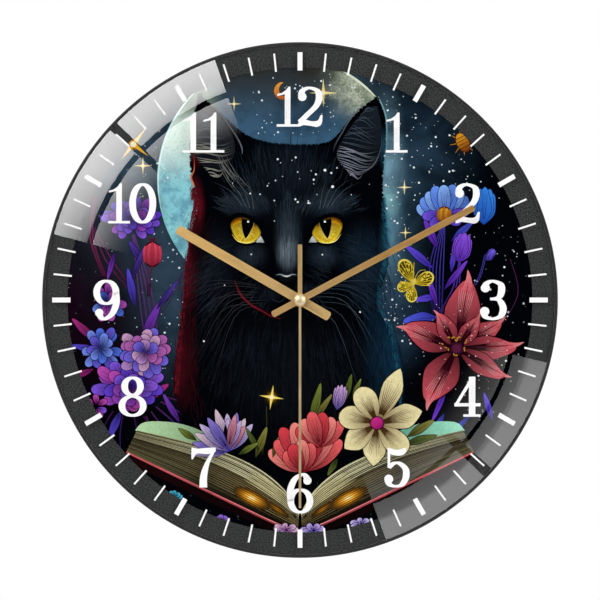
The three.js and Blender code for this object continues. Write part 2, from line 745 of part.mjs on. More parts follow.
function addCase() {
  add("movement_case_front", caseFront(), "darkPlastic");
  add("movement_case_back", caseBack(), "darkPlastic");
  add("gear_bridge", gearBridge(), "whiteNylon");
  add("hanger_plate", hangerPlate(), "brightSteel");
}

// ---------------------------------------------------------------- gear train

const wheelTop = (bottom) => bottom + WHEEL_THICKNESS;

function rotor() {
  const pinionTop = wheelTop(level.intermediate);
  const magnetMiddle = level.stator + STATOR_THICKNESS / 2;
  const arborTop = level.bridge + BRIDGE_THICKNESS - FACE_GAP;
  return join(
    pinionPlate(TEETH.rotor, TRAIN_MODULE, level.intermediate, pinionTop),
    rod(MAGNET_RADIUS, magnetMiddle - MAGNET_HEIGHT / 2, magnetMiddle + MAGNET_HEIGHT / 2, SIDES.small),
    rod(ARBOR_RADIUS, level.arborFoot, arborTop, SIDES.fine),
  );
}

function intermediateWheel() {
  const arborTop = level.bridge + BRIDGE_THICKNESS - FACE_GAP;
  return join(
    wheelPlate(TEETH.intermediateWheel, TRAIN_MODULE, level.intermediate),
    pinionPlate(
      TEETH.intermediatePinion,
      TRAIN_MODULE,
      wheelTop(level.intermediate) - FACE_GAP,
      wheelTop(level.seconds),
    ),
    rod(ARBOR_RADIUS, level.arborFoot, arborTop, SIDES.fine),
  );
}

function secondsWheel() {
  const arborTop = level.secondHand - FACE_GAP - ROOM;
  return join(
    wheelPlate(TEETH.secondsWheel, TRAIN_MODULE, level.seconds),
    pinionPlate(
      TEETH.secondsPinion,
      TRAIN_MODULE,
      wheelTop(level.seconds) - FACE_GAP,
      wheelTop(level.third),
    ),
    rod(ARBOR_RADIUS, level.arborFoot, arborTop, SIDES.fine),
  );
}

function thirdWheel() {
  return join(
    wheelPlate(TEETH.thirdWheel, TRAIN_MODULE, level.third),
    pinionPlate(
      TEETH.thirdPinion,
      minuteModule,
      level.minuteDrive,
      wheelTop(level.minuteDrive),
    ),
    rod(ARBOR_RADIUS, level.arborFoot, wheelTop(level.minuteDrive), SIDES.fine),
  );
}

function minuteDriveWheel() {
  const wheel = wheelPlate(TEETH.minuteDriveWheel, minuteModule, level.minuteDrive);
  const hole = rod(ARBOR_RADIUS + RUNNING, level.minuteDrive - 1, level.cannon, SIDES.fine);
  return cut(wheel, hole);
}

function cannonPinion() {
  const pipeTop = level.minuteHand + HUB_THICKNESS;
  const body = join(
    pinionPlate(TEETH.cannonPinion, CANNON_MODULE, level.cannon, wheelTop(level.cannon)),
    rod(CANNON_PIPE_RADIUS, level.cannon, pipeTop, SIDES.small),
  );
  return cut(body, rod(ARBOR_RADIUS + RUNNING, level.cannon - 1, pipeTop + 1, SIDES.fine));
}

function transferWheel() {
  const body = join(
    wheelPlate(TEETH.transferWheel, CANNON_MODULE, level.cannon),
    pinionPlate(TEETH.transferPinion, HOUR_MODULE, level.cannon, wheelTop(level.hour)),
  );
  return cut(body, rod(STUD_RADIUS + RUNNING, level.cannon - 1, wheelTop(level.hour) + 1, SIDES.fine));
}

function hourWheel() {
  const pipeTop = level.hourHand + HUB_THICKNESS;
  const body = join(
    wheelPlate(TEETH.hourWheel, HOUR_MODULE, level.hour),
    rod(HOUR_PIPE_RADIUS, level.hour, pipeTop, SIDES.medium),
  );
  return cut(body, rod(CANNON_PIPE_RADIUS + RUNNING, level.hour - 1, pipeTop + 1, SIDES.medium));
}

// The clutch washer lies between the driven wheel and the cannon pinion, and lets the hands be set.
function clutchWasher() {
  const bottom = wheelTop(level.minuteDrive) + FACE_GAP / 2;
  return ring(ARBOR_RADIUS + FIT, CLUTCH_RADIUS, bottom, level.cannon - FACE_GAP / 2, SIDES.small);
}

function settingKnob() {
  const knobTop = KNOB_RECESS + KNOB_THICKNESS;
  const pinionTop = wheelTop(level.cannon);
  const knob = cut(
    rod(KNOB_RADIUS, KNOB_RECESS, knobTop, SIDES.medium),
    ...Array.from({ length: KNOB_NOTCHES }, (_, i) => {
      const at = polar(centre, KNOB_RADIUS, (i * 360) / KNOB_NOTCHES);
      return rodAt(at, KNOB_NOTCH_RADIUS, KNOB_RECESS - 1, knobTop + 1, SIDES.coarse);
    }),
  );
  return join(
    knob,
    rod(SETTING_SHAFT_RADIUS, knobTop - FACE_GAP, pinionTop, SIDES.fine),
    pinionPlate(TEETH.settingPinion, CANNON_MODULE, level.cannon, pinionTop),
    rod(STUD_RADIUS, level.cannon, level.caseFrontInside - 2 * FACE_GAP - ROOM, SIDES.fine),
  );
}

// The teeth of each pair are turned into mesh, outwards from the seconds wheel and the cannon pinion.
function addGears() {
  const pinionOnSeconds = meshTurn(
    0,
    TEETH.secondsWheel,
    TEETH.intermediatePinion,
    centre,
    intermediateAt,
  );
  const rotorTurn = meshTurn(
    pinionOnSeconds,
    TEETH.intermediateWheel,
    TEETH.rotor,
    intermediateAt,
    rotorAt,
  );
  const thirdTurn = meshTurn(0, TEETH.secondsPinion, TEETH.thirdWheel, centre, thirdAt);
  const minuteTurn = meshTurn(
    thirdTurn,
    TEETH.thirdPinion,
    TEETH.minuteDriveWheel,
    thirdAt,
    centre,
  );
  const transferTurn = meshTurn(0, TEETH.cannonPinion, TEETH.transferWheel, centre, transferAt);
  const hourTurn = meshTurn(transferTurn, TEETH.transferPinion, TEETH.hourWheel, transferAt, centre);
  const settingTurn = meshTurn(
    transferTurn,
    TEETH.transferWheel,
    TEETH.settingPinion,
    transferAt,
    settingAt,
  );
  add("rotor", rotor(), "magnet", rotorAt, rotorTurn);
  add("intermediate_wheel", intermediateWheel(), "blueNylon", intermediateAt, pinionOnSeconds);
  add("seconds_wheel", secondsWheel(), "whiteNylon");
  add("third_wheel", thirdWheel(), "redNylon", thirdAt, thirdTurn);
  add("minute_drive_wheel", minuteDriveWheel(), "whiteNylon", centre, minuteTurn);
  add("clutch_washer", clutchWasher(), "brightSteel");
  add("cannon_pinion", cannonPinion(), "brass");
  add("transfer_wheel", transferWheel(), "whiteNylon", transferAt, transferTurn);
  add("hour_wheel", hourWheel(), "blueNylon", centre, hourTurn);
  add("setting_knob", settingKnob(), "redNylon", settingAt, settingTurn);
}

// ---------------------------------------------------------------- motor, electronics and battery

// The iron plate that carries the coil's field round the rotor's magnet.
function statorPlate() {
  const top = level.stator + STATOR_THICKNESS;
  const half = STATOR_ARM / 2;
  const leftX = -insideWidth + half + ROOM;
  const rightX = coilRight + half + 2 * ROOM;
  const coilEnd = coilY + CORE_WIDTH;
  const upperY = coilY - coilFlange - half - ROOM;
  const arm = (x0, x1, y0, y1) => block(x0, x1, y0, y1, level.stator, top);
  const eye = rodAt(rotorAt, STATOR_EYE, level.stator, top, SIDES.medium);
  const iron = join(
    eye,
    arm(leftX - half, leftX + half, rotorAt.y, coilEnd),
    arm(rotorAt.x, rightX + half, upperY - half, upperY + half),
    arm(rightX - half, rightX + half, upperY - half, coilEnd),
    arm(leftX - half, rotorAt.x, rotorAt.y - half, rotorAt.y + half),
    arm(rotorAt.x - half, rotorAt.x + half, rotorAt.y, upperY + half),
  );
  const inner = block(-insideWidth + ROOM, insideWidth, 0, insideHeight, level.stator - 1, top + 1);
  const rotorHole = rodAt(
    rotorAt,
    MAGNET_RADIUS + STATOR_GAP,
    level.stator - 1,
    top + 1,
    SIDES.medium,
  );
  return cut(common(iron, inner), rotorHole);
}

function coilCore() {
  const left = -insideWidth + 2 * ROOM;
  const right = coilRight + STATOR_ARM + ROOM;
  const half = CORE_WIDTH / 2;
  const bottom = level.coil - CORE_THICKNESS / 2;
  return block(left, right, coilY - half, coilY + half, bottom, bottom + CORE_THICKNESS);
}

// A solid turned about the coil's axis, which runs along x.
function alongCoil(outline) {
  const lying = turned(outline, SIDES.small).rotateY(Math.PI / 2);
  return lying.translate(coilLeft, coilY, level.coil);
}

function coilBobbin() {
  const bore = Math.hypot(CORE_WIDTH, CORE_THICKNESS) / 2 + FIT;
  return alongCoil([
    [bore, 0],
    [coilFlange, 0],
    [coilFlange, BOBBIN_FLANGE],
    [BOBBIN_TUBE, BOBBIN_FLANGE],
    [BOBBIN_TUBE, COIL_LENGTH - BOBBIN_FLANGE],
    [coilFlange, COIL_LENGTH - BOBBIN_FLANGE],
    [coilFlange, COIL_LENGTH],
    [bore, COIL_LENGTH],
  ]);
}

function coilWinding() {
  const start = BOBBIN_FLANGE + FACE_GAP;
  return alongCoil([
    [BOBBIN_TUBE + FACE_GAP, start],
    [COIL_RADIUS, start],
    [COIL_RADIUS, COIL_LENGTH - start],
    [BOBBIN_TUBE + FACE_GAP, COIL_LENGTH - start],
  ]);
}

const board = {
  left: 4,
  right: insideWidth - CONTACT_SHEET - ROOM,
  low: thirdAt.y + BOSS_RADIUS + 3,
  high: insideHeight - ROOM,
};

function boardPegs() {
  const x = (board.left + 2 * board.right) / 3;
  return [board.low + 2 * PEG_RADIUS, board.high - 2 * PEG_RADIUS].map(
    (y) => new THREE.Vector2(x, y),
  );
}

function circuitBoard() {
  const { left, right, low, high } = board;
  return block(left, right, low, high, level.board, level.board + BOARD_THICKNESS);
}

// The blob of resin over the bare chip.
function chipBlob() {
  const bottom = level.board + BOARD_THICKNESS + FACE_GAP;
  const steps = 4;
  const outline = [[0, bottom]];
  for (let i = 0; i <= steps; i++) {
    const angle = (i / steps) * (Math.PI / 2);
    outline.push([CHIP_RADIUS * Math.cos(angle), bottom + CHIP_HEIGHT * Math.sin(angle)]);
  }
  outline[outline.length - 1][0] = 0;
  return turned(outline, SIDES.small);
}

function quartzCrystal() {
  const z = level.board + BOARD_THICKNESS + FACE_GAP + CRYSTAL_RADIUS;
  const can = rod(CRYSTAL_RADIUS, 0, CRYSTAL_LENGTH, SIDES.fine).rotateY(Math.PI / 2);
  return can.translate(board.left + 2, board.high - 3 * CRYSTAL_RADIUS, z);
}

// The battery lies along x with its nub to the right.
function battery() {
  const shoulder = BATTERY_LENGTH - BATTERY_NUB_LENGTH;
  const outline = [
    [0, 0],
    [BATTERY_RADIUS - BATTERY_EDGE, 0],
    [BATTERY_RADIUS, BATTERY_EDGE],
    [BATTERY_RADIUS, shoulder - BATTERY_EDGE],
    [BATTERY_RADIUS - BATTERY_EDGE, shoulder],
    [BATTERY_NUB_RADIUS, shoulder],
    [BATTERY_NUB_RADIUS, BATTERY_LENGTH],
    [0, BATTERY_LENGTH],
  ];
  const lying = turned(outline, SIDES.medium).rotateY(Math.PI / 2);
  return lying.translate(-BATTERY_LENGTH / 2, batteryY, level.battery);
}

const contactWall = insideWidth - FACE_GAP;
const contactInner = contactWall - CONTACT_SHEET;
const contactPlate = {
  low: batteryY - BATTERY_RADIUS + BATTERY_EDGE,
  high: batteryY + BATTERY_RADIUS - 2 * BATTERY_EDGE,
  bottom: level.strip,
  top: level.battery + BATTERY_NUB_RADIUS + 1,
};

// The strip of a contact that passes the partition along the side wall, to the right of x = 0.
function sideStrip(high) {
  const top = level.strip + 2 * CONTACT_STRIP;
  return block(contactInner, contactWall, contactPlate.high - 1, high, level.strip, top);
}

function positiveContact() {
  const { low, high, bottom, top } = contactPlate;
  const dimpleStart = BATTERY_LENGTH / 2 + FIT;
  const dimpleLength = contactWall - CONTACT_SHEET / 2 - dimpleStart;
  const dimple = rod(BATTERY_NUB_RADIUS - 1, 0, dimpleLength, SIDES.fine).rotateY(Math.PI / 2);
  return join(
    block(contactInner, contactWall, low, high, bottom, top),
    dimple.translate(dimpleStart, batteryY, level.battery),
    sideStrip(board.low + 3),
  );
}

// The spring leaf that presses on the battery's flat end, with a strip along the cover.
function negativeContact() {
  const { low, high, bottom, top } = contactPlate;
  const leaf = new THREE.Shape([
    new THREE.Vector2(-contactWall, low),
    new THREE.Vector2(-contactInner, low),
    new THREE.Vector2(-BATTERY_LENGTH / 2 - FIT, batteryY),
    new THREE.Vector2(-contactInner, high),
    new THREE.Vector2(-contactWall, high),
  ]);
  const stripTop = level.strip + CONTACT_SHEET;
  const rowLow = partitionTop + 2 * FIT;
  const rowHigh = rowLow + CONTACT_STRIP;
  const columnX = (thirdAt.x + BOSS_RADIUS + settingAt.x - knobHole) / 2;
  const columnLeft = columnX - CONTACT_STRIP / 2;
  const columnRight = columnX + CONTACT_STRIP / 2;
  const tabLow = board.low + FIT;
  const tabHigh = tabLow + CONTACT_SHEET;
  return join(
    plate(leaf, bottom, top),
    sideStrip(rowHigh).rotateZ(Math.PI).translate(0, contactPlate.high - 1 + rowHigh, 0),
    block(-contactWall, columnRight, rowLow, rowHigh, level.strip, stripTop),
    block(columnLeft, columnRight, rowLow, tabHigh, level.strip, stripTop),
    block(columnLeft, columnRight, tabLow, tabHigh, level.strip, level.board - FACE_GAP),
  );
}

function addMotorAndElectronics() {
  const chipAt = new THREE.Vector2(board.right - 2 * CHIP_RADIUS, (board.low + board.high) / 2);
  add("stator_plate", statorPlate(), "softIron");
  add("coil_core", coilCore(), "softIron");
  add("coil_bobbin", coilBobbin(), "whiteNylon");
  add("coil_winding", coilWinding(), "copper");
  add("circuit_board", circuitBoard(), "greenBoard");
  add("chip_blob", chipBlob(), "blackResin", chipAt);
  add("quartz_crystal", quartzCrystal(), "brightSteel");
  add("battery", battery(), "batteryLabel");
  add("battery_contact_positive", positiveContact(), "brightSteel");
  add("battery_contact_negative", negativeContact(), "brightSteel");
}

addShellDialAndGlass();
addCentrePost();
addHands();
addCase();
addGears();
addMotorAndElectronics();

clock.rotation.x = Math.PI / 2;

export default clock;
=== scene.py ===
# %% [markdown]
# # A round wall clock with a printed cat dial
# The engineering model is loaded first and never moved. Each visible piece is then finished:
# some keep their loaded mesh and get a better material, others are modelled again in finer
# shape and stand in for the loaded one.
# %% Load the frame
import json
import math
import random

import bpy
from mathutils import Matrix, Vector
from mathutils.geometry import tessellate_polygon


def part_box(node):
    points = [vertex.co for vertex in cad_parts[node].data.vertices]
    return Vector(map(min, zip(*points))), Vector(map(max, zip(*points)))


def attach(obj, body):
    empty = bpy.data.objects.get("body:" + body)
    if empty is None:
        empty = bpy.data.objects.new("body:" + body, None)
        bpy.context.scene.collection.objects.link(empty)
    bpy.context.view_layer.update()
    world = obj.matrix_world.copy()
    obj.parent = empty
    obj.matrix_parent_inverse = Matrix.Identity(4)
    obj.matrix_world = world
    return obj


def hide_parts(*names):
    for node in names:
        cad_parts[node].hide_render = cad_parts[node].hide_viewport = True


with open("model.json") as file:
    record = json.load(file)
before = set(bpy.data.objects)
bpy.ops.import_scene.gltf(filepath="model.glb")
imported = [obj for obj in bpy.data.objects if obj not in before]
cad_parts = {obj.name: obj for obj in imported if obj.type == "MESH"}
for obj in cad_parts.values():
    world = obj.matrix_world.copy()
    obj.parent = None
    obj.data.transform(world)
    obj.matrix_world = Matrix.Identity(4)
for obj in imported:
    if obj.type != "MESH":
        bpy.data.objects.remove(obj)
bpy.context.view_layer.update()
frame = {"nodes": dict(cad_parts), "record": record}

MM = 0.001
scene = bpy.context.scene
scene.view_settings.view_transform = "Standard"
bpy.ops.object.select_all(action="DESELECT")
print("loaded", len(frame["nodes"]), "nodes")

# %% [markdown]
# ## Levels read from the frame
# The dial faces -Y, so the front of a piece is its lowest y. The picture lies between the back
# of the card and the back of the glass, and the ink on the glass follows the dome.
# %% Measure the frame
CARD_BACK = -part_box("dial_print")[1].y
CARD_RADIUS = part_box("dial_print")[1].x
GLASS_BACK = -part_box("glass_lens")[1].y
GLASS_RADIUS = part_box("glass_lens")[1].x
GLASS_TOP = -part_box("glass_lens")[0].y
SHELL_BACK = -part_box("back_shell")[1].y
SHELL_LIP = -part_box("back_shell")[0].y
CLOCK_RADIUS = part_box("back_shell")[1].x
POST_HOLE = 4.2 * MM
GLASS_RISE = 4.2 * MM
GLASS_EDGE = GLASS_TOP - GLASS_RISE


def dome_level(radius):
    """How far the front of the glass stands from the wall at a radius."""
    return GLASS_EDGE + GLASS_RISE * (1 - (radius / GLASS_RADIUS) ** 4)


print("card", CARD_BACK, "glass", GLASS_BACK, "to", GLASS_TOP, "radius", GLASS_RADIUS)

# %% [markdown]
# ## Camera
# A long lens straight in front of the dial, so that the rim is a true circle.
# %% Place the camera
VIEW_DISTANCE = 1.5
VIEW_WIDTH = 348.8 * MM
camera_data = bpy.data.cameras.new("camera")
camera_data.lens = camera_data.sensor_width * VIEW_DISTANCE / VIEW_WIDTH
camera = bpy.data.objects.new("camera", camera_data)
scene.collection.objects.link(camera)
camera.location = (0, -GLASS_EDGE - VIEW_DISTANCE, 0)
camera.rotation_euler = (math.pi / 2, 0, 0)
scene.camera = camera
print("lens", round(camera_data.lens, 1), "mm")

# %% [markdown]
# ## Small helpers for materials
# Colours are written as the sRGB hex values a painter would pick, and turned linear here.
# One function adds any node, with its settings, its plain values and its links.
# %% Colour and node helpers


def colour(hex_value):
    """An sRGB hex colour as a linear RGBA tuple."""
    channels = [int(hex_value[i:i + 2], 16) / 255 for i in (1, 3, 5)]
    linear = [c / 12.92 if c <= 0.04045 else ((c + 0.055) / 1.055) ** 2.4 for c in channels]
    return (*linear, 1.0)


def add_node(tree, kind, values=None, links=None, **settings):
    """Adds a node, sets its properties and plain values, and links its inputs."""
    made = tree.nodes.new(kind)
    for name, value in settings.items():
        setattr(made, name, value)
    for socket, value in (values or {}).items():
        made.inputs[socket].default_value = value
    for socket, source in (links or {}).items():
        tree.links.new(source, made.inputs[socket])
    return made


def start_material(name, base, roughness, metallic=0.0):
    """A material with one Principled shader, and its node tree and shader."""
    material = bpy.data.materials.new(name)
    material.use_nodes = True
    tree = material.node_tree
    shader = tree.nodes["Principled BSDF"]
    shader.inputs["Base Color"].default_value = colour(base)
    shader.inputs["Roughness"].default_value = roughness
    shader.inputs["Metallic"].default_value = metallic
    return material, tree, shader


def object_coordinates(tree, scale=(1, 1, 1), turn=0.0):
    """Object coordinates in millimetres, stretched and turned about the dial's axis."""
    source = add_node(tree, "ShaderNodeTexCoord").outputs["Object"]
    size = tuple(s / MM for s in scale)
    turned = add_node(
        tree,
        "ShaderNodeVectorRotate",
        {"Axis": (0, 1, 0), "Angle": turn},
        {"Vector": source},
    )
    return add_node(tree, "ShaderNodeMapping", {"Scale": size}, {"Vector": turned.outputs[0]}).outputs[0]


def feed(tree, socket, value):
    """Links a socket's source, or sets its plain value."""
    if isinstance(value, bpy.types.NodeSocket):
        tree.links.new(value, socket)
    else:
        socket.default_value = value


def blend_colours(tree, factor, first, second):
    """A Mix node for colours. first, second and factor are sockets, or plain values."""
    mix = add_node(tree, "ShaderNodeMix", data_type="RGBA")
    for index, value in ((0, factor), (6, first), (7, second)):
        feed(tree, mix.inputs[index], value)
    return mix.outputs[2]


def calculate(tree, operation, *inputs, vector=False):
    """A Math or Vector Math node on sockets or plain values."""
    made = add_node(tree, "ShaderNodeVectorMath" if vector else "ShaderNodeMath", operation=operation)
    for index, value in enumerate(inputs):
        feed(tree, made.inputs[index], value)
    return made.outputs["Vector" if vector and operation != "LENGTH" else "Value"]


def noise(tree, place, size_mm, detail, **values):
    """A noise pattern whose grains are about a size in millimetres."""
    values = {"Scale": 1 / size_mm, "Detail": detail, **values}
    return add_node(tree, "ShaderNodeTexNoise", values, {"Vector": place}).outputs[0]


def fit_range(tree, value, low, high, to_low=0.0, to_high=1.0, smooth=True):
    """A Map Range node from low..high to to_low..to_high."""
    return add_node(
        tree,
        "ShaderNodeMapRange",
        {"From Min": low, "From Max": high, "To Min": to_low, "To Max": to_high},
        {"Value": value},
        interpolation_type="SMOOTHSTEP" if smooth else "LINEAR",
    ).outputs[0]


def add_bump(tree, shader, height, depth_mm, strength=0.6):
    """Raises the surface by a height socket, at a real depth."""
    bump = add_node(
        tree,
        "ShaderNodeBump",
        {"Strength": strength, "Distance": depth_mm * MM},
        {"Height": height},
    )
    tree.links.new(bump.outputs[0], shader.inputs["Normal"])


print("helpers ready")

# %% [markdown]
# ## Plastics, rubber and foam
# Moulded ABS takes the fine spark texture of its mould, about 0.35 mm across, which breaks up
# the highlight. Its roughness also drifts a little over centimetres, where the tool was
# polished by hand.
# %% Moulded plastics


def moulded_plastic(name, base, roughness, grain_mm=0.35, depth_mm=0.02):
    material, tree, shader = start_material(name, base, roughness)
    place = object_coordinates(tree)
    grain = noise(tree, place, grain_mm, 2.0, Roughness=0.6)
    drift = noise(tree, place, 18, 2.0)
    dark = colour(base)
    light = tuple(min(1.0, c * 1.45 + 0.004) for c in dark[:3]) + (1.0,)
    share = fit_range(tree, grain, 0.35, 0.75, 0.0, 0.7)
    tree.links.new(blend_colours(tree, share, dark, light), shader.inputs["Base Color"])
    rough = fit_range(tree, drift, 0.3, 0.7, roughness - 0.07, roughness + 0.08)
    tree.links.new(rough, shader.inputs["Roughness"])
    add_bump(tree, shader, grain, depth_mm)
    return material


# %% Foam and rubber


def cut_foam(name, base):
    """Closed-cell EVA foam: cells of about 0.6 mm, cut open on the sides, and fully matt."""
    material, tree, shader = start_material(name, base, 0.95)
    place = object_coordinates(tree)
    cells = add_node(tree, "ShaderNodeTexVoronoi", {"Scale": 1 / 0.6}, {"Vector": place})
    depth = fit_range(tree, cells.outputs["Distance"], 0.0, 0.7, 1.0, 0.0)
    pale = tuple(min(1.0, c * 2.2 + 0.01) for c in colour(base)[:3]) + (1.0,)
    tree.links.new(blend_colours(tree, depth, pale, colour(base)), shader.inputs["Base Color"])
    add_bump(tree, shader, cells.outputs["Distance"], 0.15)
    return material


# %% [markdown]
# ## Metals
# Brushed aluminium is anodised gold for the hands. The brush runs along each hand, so the
# streaks are noise stretched forty times along the hand's own direction.
# %% Brushed and turned metals


def brushed_metal(name, base, roughness, turn=0.0, streak_mm=0.25, tint=0.9):
    """Brush lines run along z, turned about the dial's axis by the angle given."""
    material, tree, shader = start_material(name, base, roughness, 1.0)
    place = object_coordinates(tree, scale=(1 / streak_mm, 1 / streak_mm, 1 / (40 * streak_mm)), turn=turn)
    streaks = noise(tree, place, 1.0, 3.0)
    dark = tuple(c * tint for c in colour(base)[:3]) + (1.0,)
    share = fit_range(tree, streaks, 0.3, 0.7)
    made = blend_colours(tree, share, dark, colour(base))
    # Painted sheen: near the dial's axis the metal is blended towards pale gold, fading out by 70 mm, so the
    # hands' tails near the hub look as if they catch more light.
    off_axis = calculate(tree, "LENGTH", object_coordinates(tree), vector=True)
    hub_sheen_paint = fit_range(tree, off_axis, 5.0, 70.0, 0.55, 0.0)
    made = blend_colours(tree, hub_sheen_paint, made, colour("#f4d6a0"))
    tree.links.new(made, shader.inputs["Base Color"])
    rough = fit_range(tree, streaks, 0.3, 0.7, roughness - 0.08, roughness + 0.1)
    tree.links.new(rough, shader.inputs["Roughness"])
    add_bump(tree, shader, streaks, 0.004, 0.5)
    return material


def turned_metal(name, base, roughness, ring_mm=0.18):
    """Metal faced on a lathe: fine rings about the dial's axis."""
    material, tree, shader = start_material(name, base, roughness, 1.0)
    place = object_coordinates(tree)
    parts = add_node(tree, "ShaderNodeSeparateXYZ", links={"Vector": place})
    flat = add_node(tree, "ShaderNodeCombineXYZ", links={"X": parts.outputs["X"], "Z": parts.outputs["Z"]})
    radius = calculate(tree, "LENGTH", flat.outputs[0], vector=True)
    rings = add_node(
        tree,
        "ShaderNodeTexNoise",
        {"Scale": 1 / ring_mm, "Detail": 2.0},
        {"W": radius},
        noise_dimensions="1D",
    )
    dark = tuple(c * 0.8 for c in colour(base)[:3]) + (1.0,)
    tree.links.new(blend_colours(tree, rings.outputs[0], dark, colour(base)), shader.inputs["Base Color"])
    rough = fit_range(tree, rings.outputs[0], 0.3, 0.7, roughness - 0.05, roughness + 0.08)
    tree.links.new(rough, shader.inputs["Roughness"])
    return material


# %% [markdown]
# ## Glass
# The lens is clear float glass. It bends what lies behind it so little that it is drawn as a
# clear sheet with a sharp mirror on its front. Both faces of a real sheet mirror light, each as
# strongly as Fresnel's law gives, so the front carries the share of both.
# %% Clear glass


def clear_glass(name):
    material = bpy.data.materials.new(name)
    material.use_nodes = True
    tree = material.node_tree
    tree.nodes.remove(tree.nodes["Principled BSDF"])
    facing = add_node(tree, "ShaderNodeFresnel", {"IOR": 1.5})
    side = add_node(tree, "ShaderNodeNewGeometry")
    front = calculate(tree, "SUBTRACT", 1.0, side.outputs["Backfacing"])
    both = calculate(tree, "MULTIPLY", facing.outputs[0], 2.0)
    both.node.use_clamp = True
    share = calculate(tree, "MULTIPLY", both, front)
    smear = fit_range(tree, noise(tree, object_coordinates(tree), 30, 3.0), 0.45, 0.8, 0.0, 0.003)
    clear = add_node(tree, "ShaderNodeBsdfTransparent", {"Color": (0.985, 0.995, 0.99, 1.0)})
    mirror = add_node(tree, "ShaderNodeBsdfGlossy", links={"Roughness": smear})
    mix = add_node(
        tree,
        "ShaderNodeMixShader",
        links={0: share, 1: clear.outputs[0], 2: mirror.outputs[0]},
    )
    tree.links.new(mix.outputs[0], tree.nodes["Material Output"].inputs["Surface"])
    return material


# %% [markdown]
# ## Printing inks
# The picture is drawn as many thin flat shapes, laid over each other as a screen printer lays
# inks. Each shape carries its own colour in an attribute called ink. The ink sits on card
# behind the glass, so it has no gloss of its own, only a faint mottle and the paper's grain.
# %% Ink from an attribute


def printed_ink(name, mottle=0.16):
    material, tree, shader = start_material(name, "#808080", 0.85)
    shader.inputs["Specular IOR Level"].default_value = 0.0
    ink = add_node(tree, "ShaderNodeAttribute", attribute_name="ink")
    place = object_coordinates(tree)
    grain = noise(tree, place, 1.6, 5.0, Roughness=0.65)
    shade = fit_range(tree, grain, 0.25, 0.75, 1 - mottle, 1 + mottle, smooth=False)
    shaded = calculate(tree, "MULTIPLY", ink.outputs["Color"], shade, vector=True)
    tree.links.new(shaded, shader.inputs["Base Color"])
    return material


ink_material = printed_ink("screen_print_ink")
print("ink ready")

# %% [markdown]
# ## Drawing tools
# A shape is a closed outline in millimetres on the dial, x to the right and z up. Smooth
# outlines pass through a few chosen points; a point given twice stays sharp.
# %% Outlines


def smooth(points, steps=5, closed=True):
    """A line through the points, as a Catmull-Rom curve."""
    count = len(points)
    line = []
    spans = count if closed else count - 1
    for i in range(spans):
        pick = [
            points[(i + k) % count] if closed else points[min(max(i + k, 0), count - 1)]
            for k in (-1, 0, 1, 2)
        ]
        a, b, c, d = [Vector(p) for p in pick]
        if (c - b).length < 1e-6:
            continue
        for step in range(steps):
            t = step / steps
            line.append(
                0.5 * (
                    2 * b + (c - a) * t + (2 * a - 5 * b + 4 * c - d) * t * t
                    + (3 * b - a - 3 * c + d) * t ** 3
                )
            )
    if not closed:
        line.append(Vector(points[-1]))
    return line


def oval(centre, rx, ry, turn=0.0, sides=28):
    """An ellipse, turned by degrees."""
    angle = math.radians(turn)
    line = []
    for i in range(sides):
        t = 2 * math.pi * i / sides
        x, y = rx * math.cos(t), ry * math.sin(t)
        line.append(
            Vector((
                centre[0] + x * math.cos(angle) - y * math.sin(angle),
                centre[1] + x * math.sin(angle) + y * math.cos(angle),
            ))
        )
    return line


def direction(degrees):
    """A unit step at an angle from +x."""
    return Vector((math.cos(math.radians(degrees)), math.sin(math.radians(degrees))))


def petal(base, degrees, length, width, fullness=0.6, curl=0.0, blunt=False):
    """A petal or leaf from its base outwards, widest at the fullness share of its length."""
    along = direction(degrees)
    across = Vector((-along.y, along.x))
    base = Vector(base)
    bend = across * curl * length
    shoulder = 0.36 if blunt else 0.22
    points = [
        base,
        base + along * length * fullness * 0.5 + across * width * 0.36 + bend * 0.15,
        base + along * length * fullness + across * width * 0.5 + bend * 0.5,
        base + along * length * 0.9 + across * width * shoulder + bend * 0.85,
        base + along * length + bend,
        *([] if blunt else [base + along * length + bend]),
        base + along * length * 0.9 - across * width * shoulder + bend * 0.85,
        base + along * length * fullness - across * width * 0.5 + bend * 0.5,
        base + along * length * fullness * 0.5 - across * width * 0.36 + bend * 0.15,
        base,
    ]
    return smooth(points, 3)


def band(points, widths, steps=4):
    """A stroke of changing width along a smooth line: a stem, a hair or a pen line."""
    line = smooth(points, steps, closed=False)
    left, right = [], []
    for i, point in enumerate(line):
        ahead = line[min(i + 1, len(line) - 1)] - line[max(i - 1, 0)]
        across = Vector((-ahead.y, ahead.x)).normalized()
        place = i / (len(line) - 1) * (len(widths) - 1)
        index = min(int(place), len(widths) - 2)
        width = widths[index] + (widths[index + 1] - widths[index]) * (place - index)
        left.append(point + across * width / 2)
        right.append(point - across * width / 2)
    return left + right[::-1]


def star(centre, reach, waist, points=4, turn=0.0):
    """A star with long thin arms."""
    line = []
    for i in range(2 * points):
        radius = reach if i % 2 == 0 else waist
        line.append(Vector(centre) + direction(turn + 180 * i / points) * radius)
    return line


# %% [markdown]
# ## From outlines to printed pieces
# Every outline becomes a thin closed plate, a hundredth of a millimetre thick, and each is
# laid a hair above the one before, so that later shapes cover earlier ones. The colour may
# run from one ink at the shape's start to another at its far end. Only the cat lies over the
# post's hole and is punched there; any other shape that reaches into the hole is left out.
# %% The print sheet

INK_THICKNESS = 0.012
INK_STEP = 0.0006
card = CARD_BACK / MM


def linked_object(name, mesh):
    """A new object for a mesh, linked to the scene."""
    made = bpy.data.objects.new(name, mesh)
    scene.collection.objects.link(made)
    return made


def declare(piece, body, slot, *nodes):
    """Attaches a piece to the body it rides on and hides the loaded nodes it stands in for. The slot is not
    used.
    """
    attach(piece, body)
    if nodes:
        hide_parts(*nodes)


